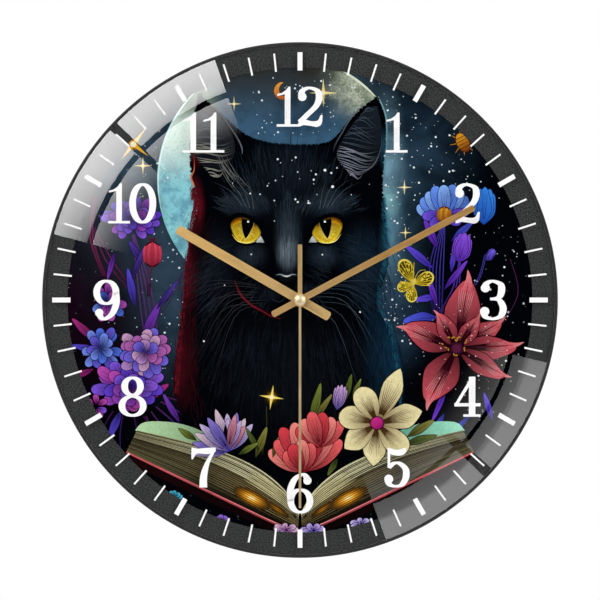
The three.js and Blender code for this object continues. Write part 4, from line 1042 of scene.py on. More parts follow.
def fan(sheet, level, base, aim, spread, count, length, width, inks, edge, blunt=False):
    """A crocus from the side: petals open from one base, the outermost first."""
    sheet.start(level)
    for k in sorted(range(count), key=lambda k: -abs(k - (count - 1) / 2)):
        share = k / (count - 1) - 0.5
        near, far = inks[k % len(inks)]
        reach = length * (1 - 0.3 * abs(share)) * random.uniform(0.92, 1.05)
        edged_petal(sheet, base, aim + spread * share, reach, width, near, far, edge, 0.6, share * -0.3,
            blunt)


def bud(sheet, level, base, aim, length, width, near, far, edge):
    """A closed bud: petals wrapped over each other, with ribs."""
    sheet.start(level)
    for offset, share in ((15, 0.86), (-15, 0.86), (8, 0.96), (-8, 0.96), (0, 1.0)):
        edged_petal(sheet, base, aim + offset, length * share, width * 0.6, near, far, edge, 0.48, 0.0,
            False, 2)


def stems(sheet, level, start, end, count, spread, bow, near, far, width=0.8):
    """A sheaf of thin stems from one place to another, bowed sideways."""
    sheet.start(level)
    start, end = Vector(start), Vector(end)
    across = Vector((-(end - start).y, (end - start).x)).normalized()
    for k in range(count):
        share = k / max(count - 1, 1) - 0.5
        root = start + across * spread * share
        middle = start.lerp(end, 0.5) + across * (bow + spread * share * 1.6)
        sheet.lay(band([root, middle, end + across * share], [width, width * 0.8, width * 0.4], 8), near,
            far)


def leaves(sheet, level, rows, inks, edge):
    """Single long leaves: where each starts, where it ends and how wide it is."""
    sheet.start(level)
    for k, (start, end, width) in enumerate(rows):
        along = Vector(end) - Vector(start)
        near, far = inks[k % len(inks)]
        edged_petal(sheet, start, bearing(along), along.length, width, near, far, edge, 0.5,
            random.uniform(-0.1, 0.1), False, 1)


# %% Left flowers

VIOLET_INKS = (("#1c0c58", "#8458e0"), ("#200e50", "#6a44d4"), ("#2a105c", "#8f5cd8"),
    ("#34104e", "#a04cc4"))
LILAC_INKS = (("#2e1650", "#bf8ed0"), ("#3c1c5c", "#d2a2c8"), ("#261a64", "#7a68dc"),
    ("#441652", "#b866b4"))
BLUE_INKS = (("#0f1658", "#5878e8"), ("#141c5c", "#7a94f0"), ("#1c165c", "#6c60dc"))
NIGHT_EDGE = "#120a2c"
left = Sheet("picture_left_flowers")
stems(left, 0.165, (-85, -44), (-97, 38), 4, 5.0, -2.0, "#3a1640", "#6a3a86", 0.9)
stems(left, 0.165, (-96, -20), (-68, 16), 3, 2.0, -3.0, "#1a1222", "#3a2a52", 0.7)
stems(left, 0.165, (-114, 14), (-119, 61), 2, 1.0, 5.0, "#4a1434", "#8a3a66", 1.2)
stems(left, 0.168, (-100, 8), (-120, 42), 2, 2.0, 2.0, "#4a1438", "#7a2a5e", 0.9)
stems(left, 0.165, (-88, 2), (-86, 24), 2, 1.0, 1.0, "#3a1230", "#6a1f48", 0.8)
stems(left, 0.165, (-84, -62), (-62, -84), 5, 16.0, 1.0, "#4b1f4f", "#33208a", 0.9)
stems(left, 0.168, (-100, -66), (-104, -92), 4, 18.0, 2.0, "#3a1440", "#2a1a6a", 0.9)
leaves(left, 0.18, (((-96, -4), (-102, 18), 4.5), ((-92, -24), (-80, -2), 5.5), ((-84, -6), (-72, 12), 3.0),
    ((-119, -24), (-132, -10), 4.5),
                    ((-116, -30), (-133, -26), 4.0), ((-108, 28), (-112, 12), 3.0),
                    ((-92, 22), (-100, 34), 4.0), ((-90, -58), (-76, -50), 5.0),
                    ((-104, -64), (-112, -82), 4.5), ((-70, -72), (-78, -54), 3.5),
                    ((-98, 12), (-90, 30), 3.0), ((-120, -40), (-133, -46), 3.6)),
       (("#2b1a6a", "#5a4bd0"), ("#3c1466", "#7a3fb6"), ("#2a1650", "#4f3a9c"), ("#5a1248", "#a82f7c")),
       NIGHT_EDGE)
cluster(left, 0.20, (-97.7, 47.4), 18.5, 12.5, VIOLET_INKS, NIGHT_EDGE)
cluster(left, 0.20, (-111.6, -1.5), 10.5, 12.5, BLUE_INKS + (("#6a1f96", "#c05ac0"),), NIGHT_EDGE, 0.44,
    ((9, 0.2, 1.0), (6, 0.0, 0.62)))
cluster(left, 0.20, (-115.7, -28.2), 12.5, 13.5, BLUE_INKS, NIGHT_EDGE, 0.40,
    ((10, 0.25, 1.0), (7, 0.0, 0.66)))
cluster(left, 0.28, (-100.0, -50.6), 21.5, 16.5, VIOLET_INKS + (("#6a1f8c", "#c050b0"),), NIGHT_EDGE, 0.42)
cluster(left, 0.375, (-90.1, -30.5), 17.0, 15.5, LILAC_INKS, NIGHT_EDGE)
cluster(left, 0.28, (-119.0, -62.0), 7.5, 7.0, (("#6a1460", "#c04fb0"), ("#4a1f8c", "#8f5ae0")), NIGHT_EDGE,
    0.5, ((7, 0.2, 1.0),))
left.start(0.20)
left.lay(oval((-86, 26.6), 5.7, 7.6), "#3a0a16")
for k in (-3, 3, -2, 2, -1, 1, 0):
    left.lay(oval((-86 + k * 1.35, 26.6), 1.5, 7.3 - abs(k) * 0.8), "#e0506a" if k % 2 else "#c23a52",
        "#7a1830", (-86, 33), (-86, 19))
for k in range(5):
    left.lay(band([(-86, 34), (-86 + (k - 2) * 1.6, 36.8)], [0.9, 0.15], 1), "#5a1626")
left.finish()

# %% Right flowers

right = Sheet("picture_right_flowers")
stems(right, 0.165, (80, -8), (84, 46), 5, 5.0, 2.5, "#1f1650", "#4a3fa8", 0.9)
stems(right, 0.165, (82, -8), (93, 22), 3, 2.0, -3.0, "#33205f", "#5a3ab0", 0.9)
stems(right, 0.168, (88, 2), (108, 26), 2, 0.6, -6.0, "#2a1f5a", "#4a3fa0", 0.7)
stems(right, 0.165, (118, -14), (122, 24), 1, 0.0, -7.0, "#3a1434", "#5a2a5c", 0.6)
leaves(right, 0.18, (((78, 18), (60, 32), 4.5), ((80, 30), (72, 47), 4.6), ((88, 34), (101, 46), 4.2),
    ((80, 2), (66, 1), 4.0), ((84, 6), (96, 24), 3.6),
                     ((80, -10), (60, -12), 8.0), ((88, 16), (90, 30), 3.0), ((80, -4), (74, 14), 3.4),
                     ((84, -66), (78, -78), 3.0),
                     ((112, -70), (107, -54), 3.4), ((86, -50), (76, -72), 3.0),
                     ((100, -66), (88, -80), 2.6)),
       (("#33209a", "#6a52e0"), ("#3c1a86", "#7a3fd0"), ("#2a2488", "#5560e0")), NIGHT_EDGE)
fan(right, 0.20, (84.4, 47.5), 92, 150, 9, 21.0, 7.6, (("#2a3fb0", "#8fb8f8"), ("#3050c0", "#6f9af4")),
    "#0f1440", True)
right.start(0.26)
for aim, reach in ((172, 13), (8, 12), (206, 10), (-26, 10)):
    edged_petal(right, (84.4, 48.5), aim, reach, 6.0, "#3a1f9a", "#7a5ae6", "#140c3a", 0.6, 0.1)
right.lay(oval((84.0, 49.6), 4.6, 5.0), "#5a2a0c")
for k in range(-2, 3):
    right.lay(oval((84.0 + k * 1.5, 49.6), 1.3, 4.6 - abs(k) * 0.7), "#e8a838" if k % 2 else "#c47a22",
        "#8a4a14", (84, 54), (84, 45))
bud(right, 0.20, (107, 43.8), 88, 22, 13.5, "#1f4fb8", "#3f8ff0", "#0c1c50")
bud(right, 0.20, (92.4, 21.6), 78, 18, 12, "#4a1f9a", "#9a5af0", "#1c0c40")
bud(right, 0.20, (108.6, 23.0), 55, 8, 5, "#3f2fa0", "#7f6af0", "#140c3a")
right.finish()

# %% Lily, butterfly and beetle

lily = Sheet("picture_lily", 0.31)
HEART = Vector((91.3, -28.2))
for tip, width in (((116.9, -12.5), 13), ((125.9, -26.1), 14), ((119.2, -43.9), 12), ((60.5, -16.0), 17),
    ((74.8, -59.6), 20),
                   ((98.3, 11.9), 21), ((80.0, -8.0), 11), ((104.0, -10.0), 10)):
    along = Vector(tip) - HEART
    aim, curl = bearing(along), random.uniform(-0.06, 0.06)
    lily.lay(petal(HEART, aim, along.length * 1.02, width * 1.08, 0.55, curl), "#14040a")
    lily.lay(petal(HEART, aim, along.length, width, 0.55, curl), "#28040c", "#cc5260", HEART)
    for k in range(8):
        offset = (k - 3.5) * width / along.length * 6.0
        start = HEART + direction(aim + offset) * along.length * 0.3
        end = HEART + direction(aim + offset * 0.66 + curl * 24) * along.length * (0.93 - 0.02 * abs(k - 3.5))
        lily.lay(band([start, start.lerp(end, 0.6), end], [0.2, width * 0.055, 0.15], 2), "#7c1a2a",
            "#e8868c")
    for k in range(9):
        offset = (k - 4) * width / along.length * 5.6
        start = HEART + direction(aim + offset) * along.length * 0.12
        end = HEART + direction(aim + offset * 0.72 + curl * 24) * along.length * (0.9 - 0.03 * abs(k - 4))
        lily.lay(band([start, end], [0.8, 0.12], 1), "#260610")
    curled = Vector(tip) + direction(aim + 16) * along.length * 0.14
    lily.lay(band([HEART + along * 0.82, Vector(tip), curled], [width * 0.34, width * 0.16, 0.1]),
        "#cc5260", "#e68a8e")
    lily.lay(band([HEART + along * 0.3, HEART + along * 0.62, HEART + along * 0.95], [0.3, 0.9, 0.2]),
        "#3a0812", "#8a2432")
for radius, ink in ((6.2, "#1c060e"), (4.6, "#3a1026"), (3.0, "#5a1c3c")):
    lily.lay(star(HEART, radius, radius * 0.72, 9, radius * 20), ink)
for k in range(16):
    tip = HEART + direction(random.uniform(0, 360)) * random.uniform(4, 9)
    lily.lay(oval(tip, 0.9, 0.4, k * 58, 10), "#d8a03a", "#8a5a1a")
lily.start(0.44)
for _ in range(50):
    tip = HEART + direction(random.uniform(0, 360)) * random.uniform(8, 30)
    size = random.choice((0.2, 0.28, 0.4))
    lily.lay(oval(tip, size, size, sides=8), "#f6cfd0")


def lace_wing(centre, aim, length, width):
    """A wing of gold filigree: a dark ground, a bright edge and many threads."""
    lily.lay(petal(centre, aim, length, width, 0.66, 0.05, True), "#c9a520", "#f2dc62", centre)
    lily.lay(petal(centre, aim, length * 0.92, width * 0.84, 0.66, 0.05, True), "#2c2608", "#4a400c",
        centre)
    for k in range(7):
        step = direction(aim + (k - 3) * 8.5)
        lily.lay(band([centre, Vector(centre) + step * length * (0.9 - 0.035 * abs(k - 3))], [0.3, 0.45],
            1), "#d8b92a")
    for k in range(9):
        spot = Vector(centre) + direction(aim + random.uniform(-22, 22)) * length * random.uniform(0.4,
            0.85)
        lily.lay(oval(spot, 0.55, 0.55, sides=10), "#e8cf4a")


lily.start(0.31)
for aim, length, width in ((112, 15.5, 8.5), (18, 13.0, 8.0), (196, 9.5, 6.0), (262, 11.0, 6.5)):
    lace_wing((65.7, 9.6), aim, length, width)
lily.lay(oval((65.7, 9.6), 1.2, 3.4, -28), "#e8d060", "#7a5a10")
lily.lay(band([(66.6, 12.0), (69.4, 16.8), (73.2, 17.6)], [0.3, 0.25, 0.2]), "#e8d060")
lily.start(0.31)
for k in range(8):
    lily.lay(band([(94.8, 91.8), Vector((94.8, 91.8)) + direction(20 + k * 43) * 7.6], [0.8, 0.2], 1),
        "#c98a1c")
lily.lay(oval((94.8, 91.8), 4.0, 6.2, 28), "#5a2c08")
lily.lay(oval((94.8, 91.8), 3.4, 5.6, 28), "#e09a2a", "#7a3414", (92, 96), (97, 87))
for k in range(4):
    centre = Vector((93.4 + k * 0.9, 94.6 - k * 1.8))
    lily.lay(band([centre + Vector((-2.6, -1.4)), centre + Vector((2.6, 1.4))], [0.5, 0.3], 1), "#5a2408")
lily.finish()

# %% [markdown]
# ## The open book
# The cat sits behind an open book. Each side is a thick block of leaves that bows up from the
# fold and thins towards its corner. Lines between the cover and the top leaf show the pages'
# edges: dark and few below, close and cream above. Warm light lies in the fold.
# %% Book

COVER_LINE = [(0.6, -134), (14, -129.6), (44, -115.4), (74, -101), (101, -88)]
TOP_LINE = [(0.2, -125), (9, -111), (26, -97.5), (52, -86.5), (95, -76)]
book = Sheet("picture_book", 0.425)


def page_line(side, share, lean=0.0):
    """A page's edge: share 0 is the cover and 1 the top leaf."""
    return [(side * (c[0] + (t[0] - c[0]) * share), c[1] + (t[1] - c[1]) * share + lean) for c,
        t in zip(COVER_LINE, TOP_LINE)]


def soft_glow(sheet, centre, rx, ry, turn, inks):
    """Ovals inside each other, from the first ink outside to the last at the middle."""
    for k, ink in enumerate(inks):
        share = 1 - k / len(inks)
        sheet.lay(oval(centre, rx * share, ry * share, turn), ink)


EMBERS = ("#4a3418", "#5c3d17", "#724a16", "#8c5a16", "#a96d18", "#c6831e", "#e09a2a", "#f2b240", "#fccb62",
    "#ffe192", "#fff2c4")
for side, top_inks in ((-1, ("#bfe0b0", "#6f8a68")), (1, ("#a6e6cc", "#3f8070"))):
    book.start(0.425)
    foot, head = smooth(page_line(side, 0), 6, closed=False), smooth(page_line(side, 1), 6, closed=False)
    book.lay(smooth(page_line(side, 0, -1.2), 6, closed=False) + smooth(page_line(side, 0, -6.5), 6,
        closed=False)[::-1], "#0a0506", "#1c080a")
    book.lay(foot + head[::-1], "#0e0b08", "#8f8760", (side * 52, -112), (side * 46, -91))
    corner = [(side * 96, -76), (side * 96, -76), (side * 90, -71.0), (side * 72, -71.6),
        (side * 56, -77.0), (side * 44, -86.6),
              (side * 44, -86.6), (side * 62, -83.4), (side * 80, -79.4)]
    book.lay(smooth(corner, 4), *top_inks, (side * 92, -72), (side * 50, -86))
    for k in range(40):
        share = 0.08 + 0.92 * (k / 39) ** 0.8
        tone = k / 39
        if k % 2:
            near, far = ("#efe6bc", "#8f8a68") if tone > 0.55 else ("#8a7a50", "#3a3226")
        else:
            near, far = "#16110b", "#241d14"
        width = random.uniform(0.25, 0.75) * (0.7 + 0.6 * tone)
        book.lay(band(page_line(side, share), [width * 0.5, width * 1.2, width * 1.3, width, width * 0.6],
            6), near, far, (0, -130))
    for k in range(7):
        share = 0.62 + 0.05 * k
        line = page_line(side, share)[:3]
        book.lay(band(line, [1.5, 1.2, 0.1], 6), "#e6dcae", "#b9ae7c", (0, -130))
        book.lay(band([(x, y - 0.9) for x, y in line], [0.3, 0.4, 0.1], 6), "#3a2c18")
    book.lay(band(page_line(side, 0, -0.6), [1.2, 1.6, 1.5, 1.3, 0.8], 6), "#7c1f2a", "#d8606a")
    book.lay(band(page_line(side, 0, -0.2), [0.3, 0.5, 0.5, 0.4, 0.3], 6), "#f0a0a0", "#c94a55")
    soft_glow(book, (side * 28.0, -115.4), 12, 4.6, side * 27, EMBERS)
    soft_glow(book, (side * 13.0, -122.0), 8, 2.0, side * 36, EMBERS[:6])
    for k in range(12):
        book.lay(band(page_line(side, 0.08 + 0.05 * k), [0.1, 0.32, 0.3, 0.2, 0.1], 6), "#1c120a")
book.start(0.50)
book.lay(band([(0.2, -134), (0.0, -128), (0.2, -118)], [2.6, 1.6, 0.3]), "#0c0806")
book.finish()

# %% [markdown]
# ## Flowers on the book
# A small posy lies across the middle of the book: a lilac crocus, a gold star, coral petals
# and a large cream flower with one long petal, among olive leaves.
# %% Book flowers

posy = Sheet("picture_book_flowers")
OLIVE = (("#20280f", "#7a8438"), ("#2c2c12", "#8a8440"), ("#1c2410", "#5e6c2c"))
leaves(posy, 0.52, (((6, -76), (14, -49), 5.0), ((8, -70), (20, -56), 3.4), ((26, -60), (29, -43), 3.4),
    ((30, -58), (36, -46), 2.6),
                    ((-26, -92), (-19, -74), 4.5), ((-24, -88), (-30, -74), 3.0),
                    ((-36, -90), (-24, -84), 3.4), ((62, -80), (78, -70), 4.6),
                    ((60, -84), (80, -80), 4.4), ((-60, -82), (-70, -74), 3.4),
                    ((-16, -92), (-12, -80), 2.8), ((22, -92), (16, -102), 3.4)),
       OLIVE, "#0e1208")
stems(posy, 0.52, (-22, -90), (-20, -62), 1, 0.0, -1.5, "#2a2a14", "#5a5426", 0.5)
fan(posy, 0.525, (-41, -88), 116, 150, 10, 25.0, 5.6, (("#3f3490", "#c5b2d8"), ("#54449a", "#e0c6cf"),
    ("#2f2a86", "#8f7bd0")), "#140c2c")
fan(posy, 0.54, (-42, -87), 78, 66, 5, 20.0, 4.6, (("#6a2a4a", "#d88fa0"), ("#54449a", "#c9b0dc")),
    "#1c0c24")
bud(posy, 0.525, (21.4, -64.0), 78, 15, 6.4, "#4a3f96", "#d0a6d8", "#140c2c")
CORAL = (("#6a0f1c", "#ee6468"), ("#8a1826", "#f58f88"), ("#5a0c18", "#dc4450"))
fan(posy, 0.53, (4.0, -100), 97, 128, 8, 31.0, 9.0, CORAL, "#24040a", True)
fan(posy, 0.55, (12.0, -86), 96, 110, 6, 22.0, 8.0, CORAL, "#24040a", True)
fan(posy, 0.565, (2.0, -100), 104, 80, 4, 19.0, 8.0, CORAL, "#24040a", True)
CREAM = Vector((44.9, -71.7))
posy.start(0.575)
for aim, length, width in ((64, 34.5, 12.0), (262, 25, 13), (312, 24, 13.5), (215, 24, 13),
    (165, 22.5, 13.5), (12, 27, 14), (114, 23, 13.5)):
    posy.lay(petal(CREAM, aim, length + 0.5, width + 1.0, 0.66, 0.05, aim in (312, 165, 114)), "#2c2012")
    posy.lay(petal(CREAM, aim, length, width, 0.66, 0.05, aim in (312, 165, 114)), "#6a4a24", "#eddfae",
        CREAM, CREAM + direction(aim) * length * 0.75)
    for offset in (-14, -10, -6, -2, 2, 6, 10, 14):
        start = CREAM + direction(aim + offset) * length * 0.16
        streak_reach = 0.86 - 0.012 * abs(offset) - (0.18 if abs(offset) < 5 else 0)
        end = CREAM + direction(aim + offset * 0.85 + 2) * length * streak_reach
        posy.lay(band([start, end], [0.6, 0.1], 1), "#3a2610", "#6a4a28")
posy.lay(oval(CREAM, 4.3, 4.1), "#4a0c30")
posy.lay(oval(CREAM, 3.6, 3.4), "#d0308c", "#9a1a68", CREAM + Vector((-2, 3)), CREAM + Vector((2, -3)))
GOLD_STAR = (-16.5, -56.6)
posy.start(0.52)
for size, ink in ((5.0, "#1c1608"), (3.4, "#4a3a12"), (2.2, "#9a7a2c")):
    posy.lay(oval(GOLD_STAR, size, size), ink)
posy.lay(star(GOLD_STAR, 7.2, 1.3, 4, -8), "#ffe070")
posy.lay(oval(GOLD_STAR, 1.1, 1.1), "#fff8dc")
for centre, rx, rz, inks in (((-73.3, -114.5), 5.0, 3.4, (("#14607a", "#4fc0dc"),)),
    ((-45.3, -129.0), 5.0, 4.2, (("#4a1f8a", "#a57ce6"),)),
                             ((35.8, -130.2), 7.0, 3.6, (("#6a5ab0", "#d6c6f6"),)),
                             ((-8.0, -134.0), 8.0, 4.0, (("#8a4aa0", "#e6c0d8"),)),
                             ((8.0, -134.2), 8.0, 4.2, (("#5a4ab0", "#cdb6f0"),))):
    cluster(posy, 0.52, centre, rx, rz, inks, "#1a0c2c", 0.8, ((8, 0.1, 1.0),))
posy.finish()

# %% [markdown]
# ## The printed ring
# A charcoal ring with a fine dark speckle frames the picture, with white marks on it. On the
# glass above it are the white minute marks, hour marks and numerals.
# %% Ring

RING_INNER = 135.3 * MM


def speckled_charcoal():
    material, tree, shader, place = print_material("speckled_charcoal_print", "#3c3c3c")
    share = fit_range(tree, noise(tree, place, 0.8, 3.0, Roughness=0.7), 0.4, 0.62)
    made = blend_colours(tree, share, colour("#2c2c2c"), colour("#505050"))
    tree.links.new(made, shader.inputs["Base Color"])
    return material


RING_LEVEL = GLASS_BACK - 0.05 * MM
ring_profile = [(RING_INNER, RING_LEVEL - 0.02 * MM), (CARD_RADIUS, RING_LEVEL - 0.02 * MM),
                (CARD_RADIUS, RING_LEVEL), (RING_INNER, RING_LEVEL)]
turned_piece("picture_ring", ring_profile, 240, speckled_charcoal(), "root", "printed_card", "dial_print")

# %% [markdown]
# ## Numerals
# The numerals are a bold printer's face with strong contrast: upright strokes are thick and
# level ones thin, as a flat pen held level would make them. So each figure is drawn as pen
# strokes whose width follows their direction, with round drops and slab feet added.
# %% The pen

FIGURE_HEIGHT = 23.3
THICK, THIN = 3.9, 1.5


def pen(points, closed=False, thick=THICK, thin=THIN):
    """A stroke that is thick where it runs upright and thin where it runs level."""
    line = smooth(points, 5, closed=closed)
    left, right = [], []
    count = len(line)
    for i, point in enumerate(line):
        before = line[i - 1] if closed or i else line[0]
        after = line[(i + 1) % count] if closed or i < count - 1 else line[-1]
        ahead = (after - before).normalized()
        width = thin + (thick - thin) * abs(ahead.y) ** 1.5
        across = Vector((-ahead.y, ahead.x)) * width / 2
        left.append(point + across)
        right.append(point - across)
    if closed:
        return [left[i:i + 2] + right[i:i + 2][::-1] for i in range(count - 1)] + [
            [left[-1], left[0], right[0], right[-1]]]
    return [left + right[::-1]]


def slab(left, right, low, high):
    """A flat serif or bar."""
    return [[Vector((left, low)), Vector((right, low)), Vector((right, high)), Vector((left, high))]]


def drop(x, y, radius=2.5):
    """The round end of a stroke."""
    return [oval((x, y), radius, radius, sides=20)]


def arc(x, y, rx, ry, start, stop, steps=8):
    """Points on an ellipse between two angles."""
    return [(x + rx * math.cos(math.radians(start + (stop - start) * i / steps)),
             y + ry * math.sin(math.radians(start + (stop - start) * i / steps))) for i in range(steps + 1)]


def half_turned(shapes):
    """The same figure upside down: a six becomes a nine."""
    return [[Vector((-p[0], FIGURE_HEIGHT - p[1])) for p in shape] for shape in shapes]


TOP = FIGURE_HEIGHT - THIN / 2
SIX = (pen(arc(0.2, 7.2, 5.6, 6.5, 0, 345, 16), True) + pen([(4.6, 19.4), (3.0, 21.9), (0.9, TOP),
    (-3.2, 19.6), (-5.6, 13.6), (-5.4, 7.2)])
       + drop(4.3, 19.1, 2.4))
FIGURES = {
    "0": pen(arc(0, FIGURE_HEIGHT / 2, 5.9, FIGURE_HEIGHT / 2 - THIN / 2, 0, 345, 23), True),
    "1": slab(-1.65, 1.65, 0.8, 19.5) + slab(-6.3, 6.3, 0, 1.4)
    + [[Vector(p) for p in ((-5.9, 17.9), (-3.6, 18.4), (-1.65, 18.9), (1.65, 18.9), (1.65, 23.3),
    (0.5, 23.3), (-0.9, 21.3),
                            (-3.4, 19.6), (-5.9, 19.1))]],
    "2": pen([(-5.2, 17.2), (-4.4, 20.8), (-0.6, TOP), (4.2, 20.8), (5.2, 16.6), (3.4, 12.0), (-1.6, 7.0),
    (-6.2, 2.4)])
    + drop(-4.6, 17.4) + [smooth([(-7.0, 0.0), (-7.0, 0.0), (-6.6, 2.6), (-3.6, 4.2), (0.6, 3.2),
    (4.4, 3.6), (6.0, 6.6),
                                  (7.2, 6.6), (7.2, 6.6), (6.6, 1.6), (4.0, -0.1), (1.0, 0.3), (-3.6, 0.9),
                                  (-5.6, 0.2)], 3)],
    "3": pen([(-4.8, 18.8), (-3.4, 21.4), (-0.2, TOP), (4.0, 20.6), (4.4, 16.2), (2.6, 13.0), (-1.8, 12.2)])
    + pen([(-1.8, 12.2), (3.0, 11.6), (5.4, 7.0), (4.0, 2.4), (-0.2, THIN / 2), (-4.0, 1.8), (-5.6, 5.0)])
    + drop(-4.4, 18.6) + drop(-4.8, 5.0, 2.6),
    "4": slab(0.8, 4.6, 0.6, 23.2) + slab(-2.4, 7.6, 0, 1.4) + slab(-7.6, 7.6, 6.0, 7.9)
    + [[Vector(p) for p in ((2.2, 23.3), (4.4, 23.3), (-5.6, 7.0), (-7.6, 7.0))]],
    "5": slab(-5.3, -3.8, 11.4, 22.6) + [smooth([(-5.3, 23.3), (-5.3, 23.3), (0.0, 21.9), (5.4, 23.2),
    (5.4, 23.2), (5.0, 19.8),
                                                  (1.0, 18.4), (-4.4, 19.8)], 3)]
    + pen([(-4.6, 11.8), (-1.6, 14.0), (1.6, 14.0), (5.2, 10.6), (5.3, 5.6), (2.8, 1.6), (-0.8, THIN / 2),
    (-4.0, 1.8), (-5.4, 4.6)])
    + drop(-4.6, 4.9, 2.6),
    "6": SIX,
    "7": [smooth([(-6.8, 23.3), (-6.8, 23.3), (-3.2, 22.6), (1.0, 23.0), (7.0, 23.3), (7.0, 23.3),
    (6.9, 20.6), (2.0, 19.4),
                  (-3.6, 19.8), (-5.8, 16.8), (-6.9, 16.8)], 3)]
    + [smooth([(5.2, 21.0), (7.0, 21.6), (3.6, 14.0), (2.2, 6.0), (2.3, 0.0), (2.3, 0.0), (-2.3, 0.0),
    (-2.3, 0.0), (-1.8, 7.0),
               (1.0, 14.4)], 3)],
    "8": pen(arc(0, 17.6, 4.6, 4.95, 0, 345, 16), True) + pen(arc(0, 6.3, 6.2, 5.55, 0, 345, 16), True),
    "9": half_turned(SIX),
}
FIGURES["3"] = [[Vector((p[0] * 1.06, p[1])) for p in shape] for shape in FIGURES["3"]]
FIGURE_WIDTH = {"0": 15.7, "1": 11.8}
USUAL_WIDTH = 14.4
NUMERAL_CIRCLE = 112.2
print(len(FIGURES), "figures drawn")

# %% Ink on the glass

INK_ON_GLASS = 0.02


def on_dome(point):
    """The level of the glass under a point of the dial, in millimetres from the wall."""
    return dome_level(point.length * MM) / MM + INK_ON_GLASS


def screen_white():
    """Matt white ceramic ink, fired on glass, with a faint screen texture."""
    material, tree, shader = start_material("white_ceramic_ink", "#f7f5f6", 0.7)
    shader.inputs["Specular IOR Level"].default_value = 0.1
    share = fit_range(tree, noise(tree, object_coordinates(tree), 0.5, 2.0), 0.35, 0.7)
    tree.links.new(blend_colours(tree, share, colour("#efedee"), colour("#fdfcfc")),
        shader.inputs["Base Color"])
    return material


white_ink = screen_white()
HOUR_MARK, MINUTE_MARK = 2.85, 1.05
MARK_INNER, MARK_OUTER = 133.3, 144.0
marks = Sheet("glass_minute_marks")
for minute in range(60):
    width = HOUR_MARK if minute % 5 == 0 else MINUTE_MARK
    along = direction(90 - minute * 6)
    across = Vector((-along.y, along.x)) * width / 2
    rungs = [MARK_INNER + (MARK_OUTER - MARK_INNER) * k / 4 for k in range(5)]
    outline = [along * r + across for r in rungs] + [along * r - across for r in rungs[::-1]]
    marks.lay(outline, "#f7f5f6", surface=on_dome)
marks.finish(white_ink, "lens_glass", ())

numerals = Sheet("glass_numerals")
for hour in range(1, 13):
    middle = direction(90 - hour * 30) * NUMERAL_CIRCLE
    text = str(hour)
    widths = [FIGURE_WIDTH.get(figure, USUAL_WIDTH) for figure in text]
    start = middle.x - sum(widths) / 2
    for figure, width in zip(text, widths):
        offset = Vector((start + width / 2, middle.y - FIGURE_HEIGHT / 2))
        for shape in FIGURES[figure]:
            numerals.lay([Vector(p) + offset for p in shape], "#f7f5f6", surface=on_dome)
        start += width
numerals.finish(white_ink, "lens_glass", ())

# %% [markdown]
# ## The glass lens
# One piece of clear glass, flat behind and domed in front, turned from its section. The dome
# falls with the fourth power of the radius, so it is nearly flat in the middle and curves
# down to its edge.
# %% Domed glass

DOME_RINGS = 44
EDGE_ROUND = 0.35 * MM
dome = [(POST_HOLE, GLASS_BACK), (GLASS_RADIUS, GLASS_BACK), (GLASS_RADIUS, GLASS_EDGE - EDGE_ROUND)]
for i in range(DOME_RINGS + 1):
    radius = (GLASS_RADIUS - EDGE_ROUND) + (POST_HOLE - GLASS_RADIUS + EDGE_ROUND) * i / DOME_RINGS
    dome.append((radius, dome_level(radius)))
float_glass = clear_glass("clear_float_glass")
turned_piece("domed_glass", dome, 240, float_glass, "root", "lens_glass", "glass_lens")

# %% [markdown]
# ## The back shell
# A shallow dish moulded in black ABS, with a thin lip that shows as the clock's black outline,
# and ribs on its back. It is spun from its section, and each rib is a bar with soft edges.
# %% Shell

black_abs = moulded_plastic("black_abs_moulded", "#161616", 0.48)
LIP_WALL = 1.4 * MM
RIB_HEIGHT = 2.0 * MM
SHELL_WALL = 1.8 * MM
shell_rear = SHELL_BACK + RIB_HEIGHT
shell_front = SHELL_BACK + RIB_HEIGHT + SHELL_WALL
lip_inner = CLOCK_RADIUS - LIP_WALL
shell_section = [
    (POST_HOLE, shell_rear), (lip_inner, shell_rear), (CLOCK_RADIUS - 0.5 * MM, shell_rear + 0.3 * MM),
    (CLOCK_RADIUS, shell_rear + 1.1 * MM), (CLOCK_RADIUS, SHELL_LIP - 0.3 * MM),
    (CLOCK_RADIUS - 0.3 * MM, SHELL_LIP), (lip_inner + 0.2 * MM, SHELL_LIP),
    (lip_inner, SHELL_LIP - 0.2 * MM), (lip_inner, shell_front), (POST_HOLE, shell_front),
]
turned_piece("shell_moulding", shell_section, 240, black_abs, "root", "shell_plastic", "back_shell")

# %% Ribs

RIB_RING = 138 * MM
RIB_WIDTH = 1.6 * MM
ring_section = [(RIB_RING - RIB_WIDTH, shell_rear), (RIB_RING, shell_rear),
    (RIB_RING - 0.2 * MM, SHELL_BACK + 0.3 * MM),
                (RIB_RING - 0.5 * MM, SHELL_BACK), (RIB_RING - RIB_WIDTH + 0.5 * MM, SHELL_BACK),
                (RIB_RING - RIB_WIDTH + 0.2 * MM, SHELL_BACK + 0.3 * MM)]
turned_piece("shell_rib_ring", ring_section, 180, black_abs, "root", "shell_plastic", "back_shell")


def rounded_block(name, low, high, edge, turn, material):
    """A box added at its size, with its edges bevelled, turned about the dial's axis."""
    bpy.ops.object.select_all(action="DESELECT")
    bpy.ops.mesh.primitive_cube_add(size=1)
    piece = bpy.context.active_object
    piece.name = piece.data.name = name
    low, high = Vector(low), Vector(high)
    size = high - low
    piece.data.transform(Matrix.Translation((low + high) / 2) @ Matrix.Diagonal((*size, 1)))
    piece.data.transform(Matrix.Rotation(turn, 4, "Y"))
    bpy.ops.object.mode_set(mode="EDIT")
    bpy.ops.mesh.select_all(action="SELECT")
    bpy.ops.mesh.bevel(offset=edge, segments=2, affect="EDGES")
    bpy.ops.object.mode_set(mode="OBJECT")
    bpy.ops.object.shade_smooth_by_angle(angle=math.radians(40))
    piece.data.materials.append(material)
    return piece


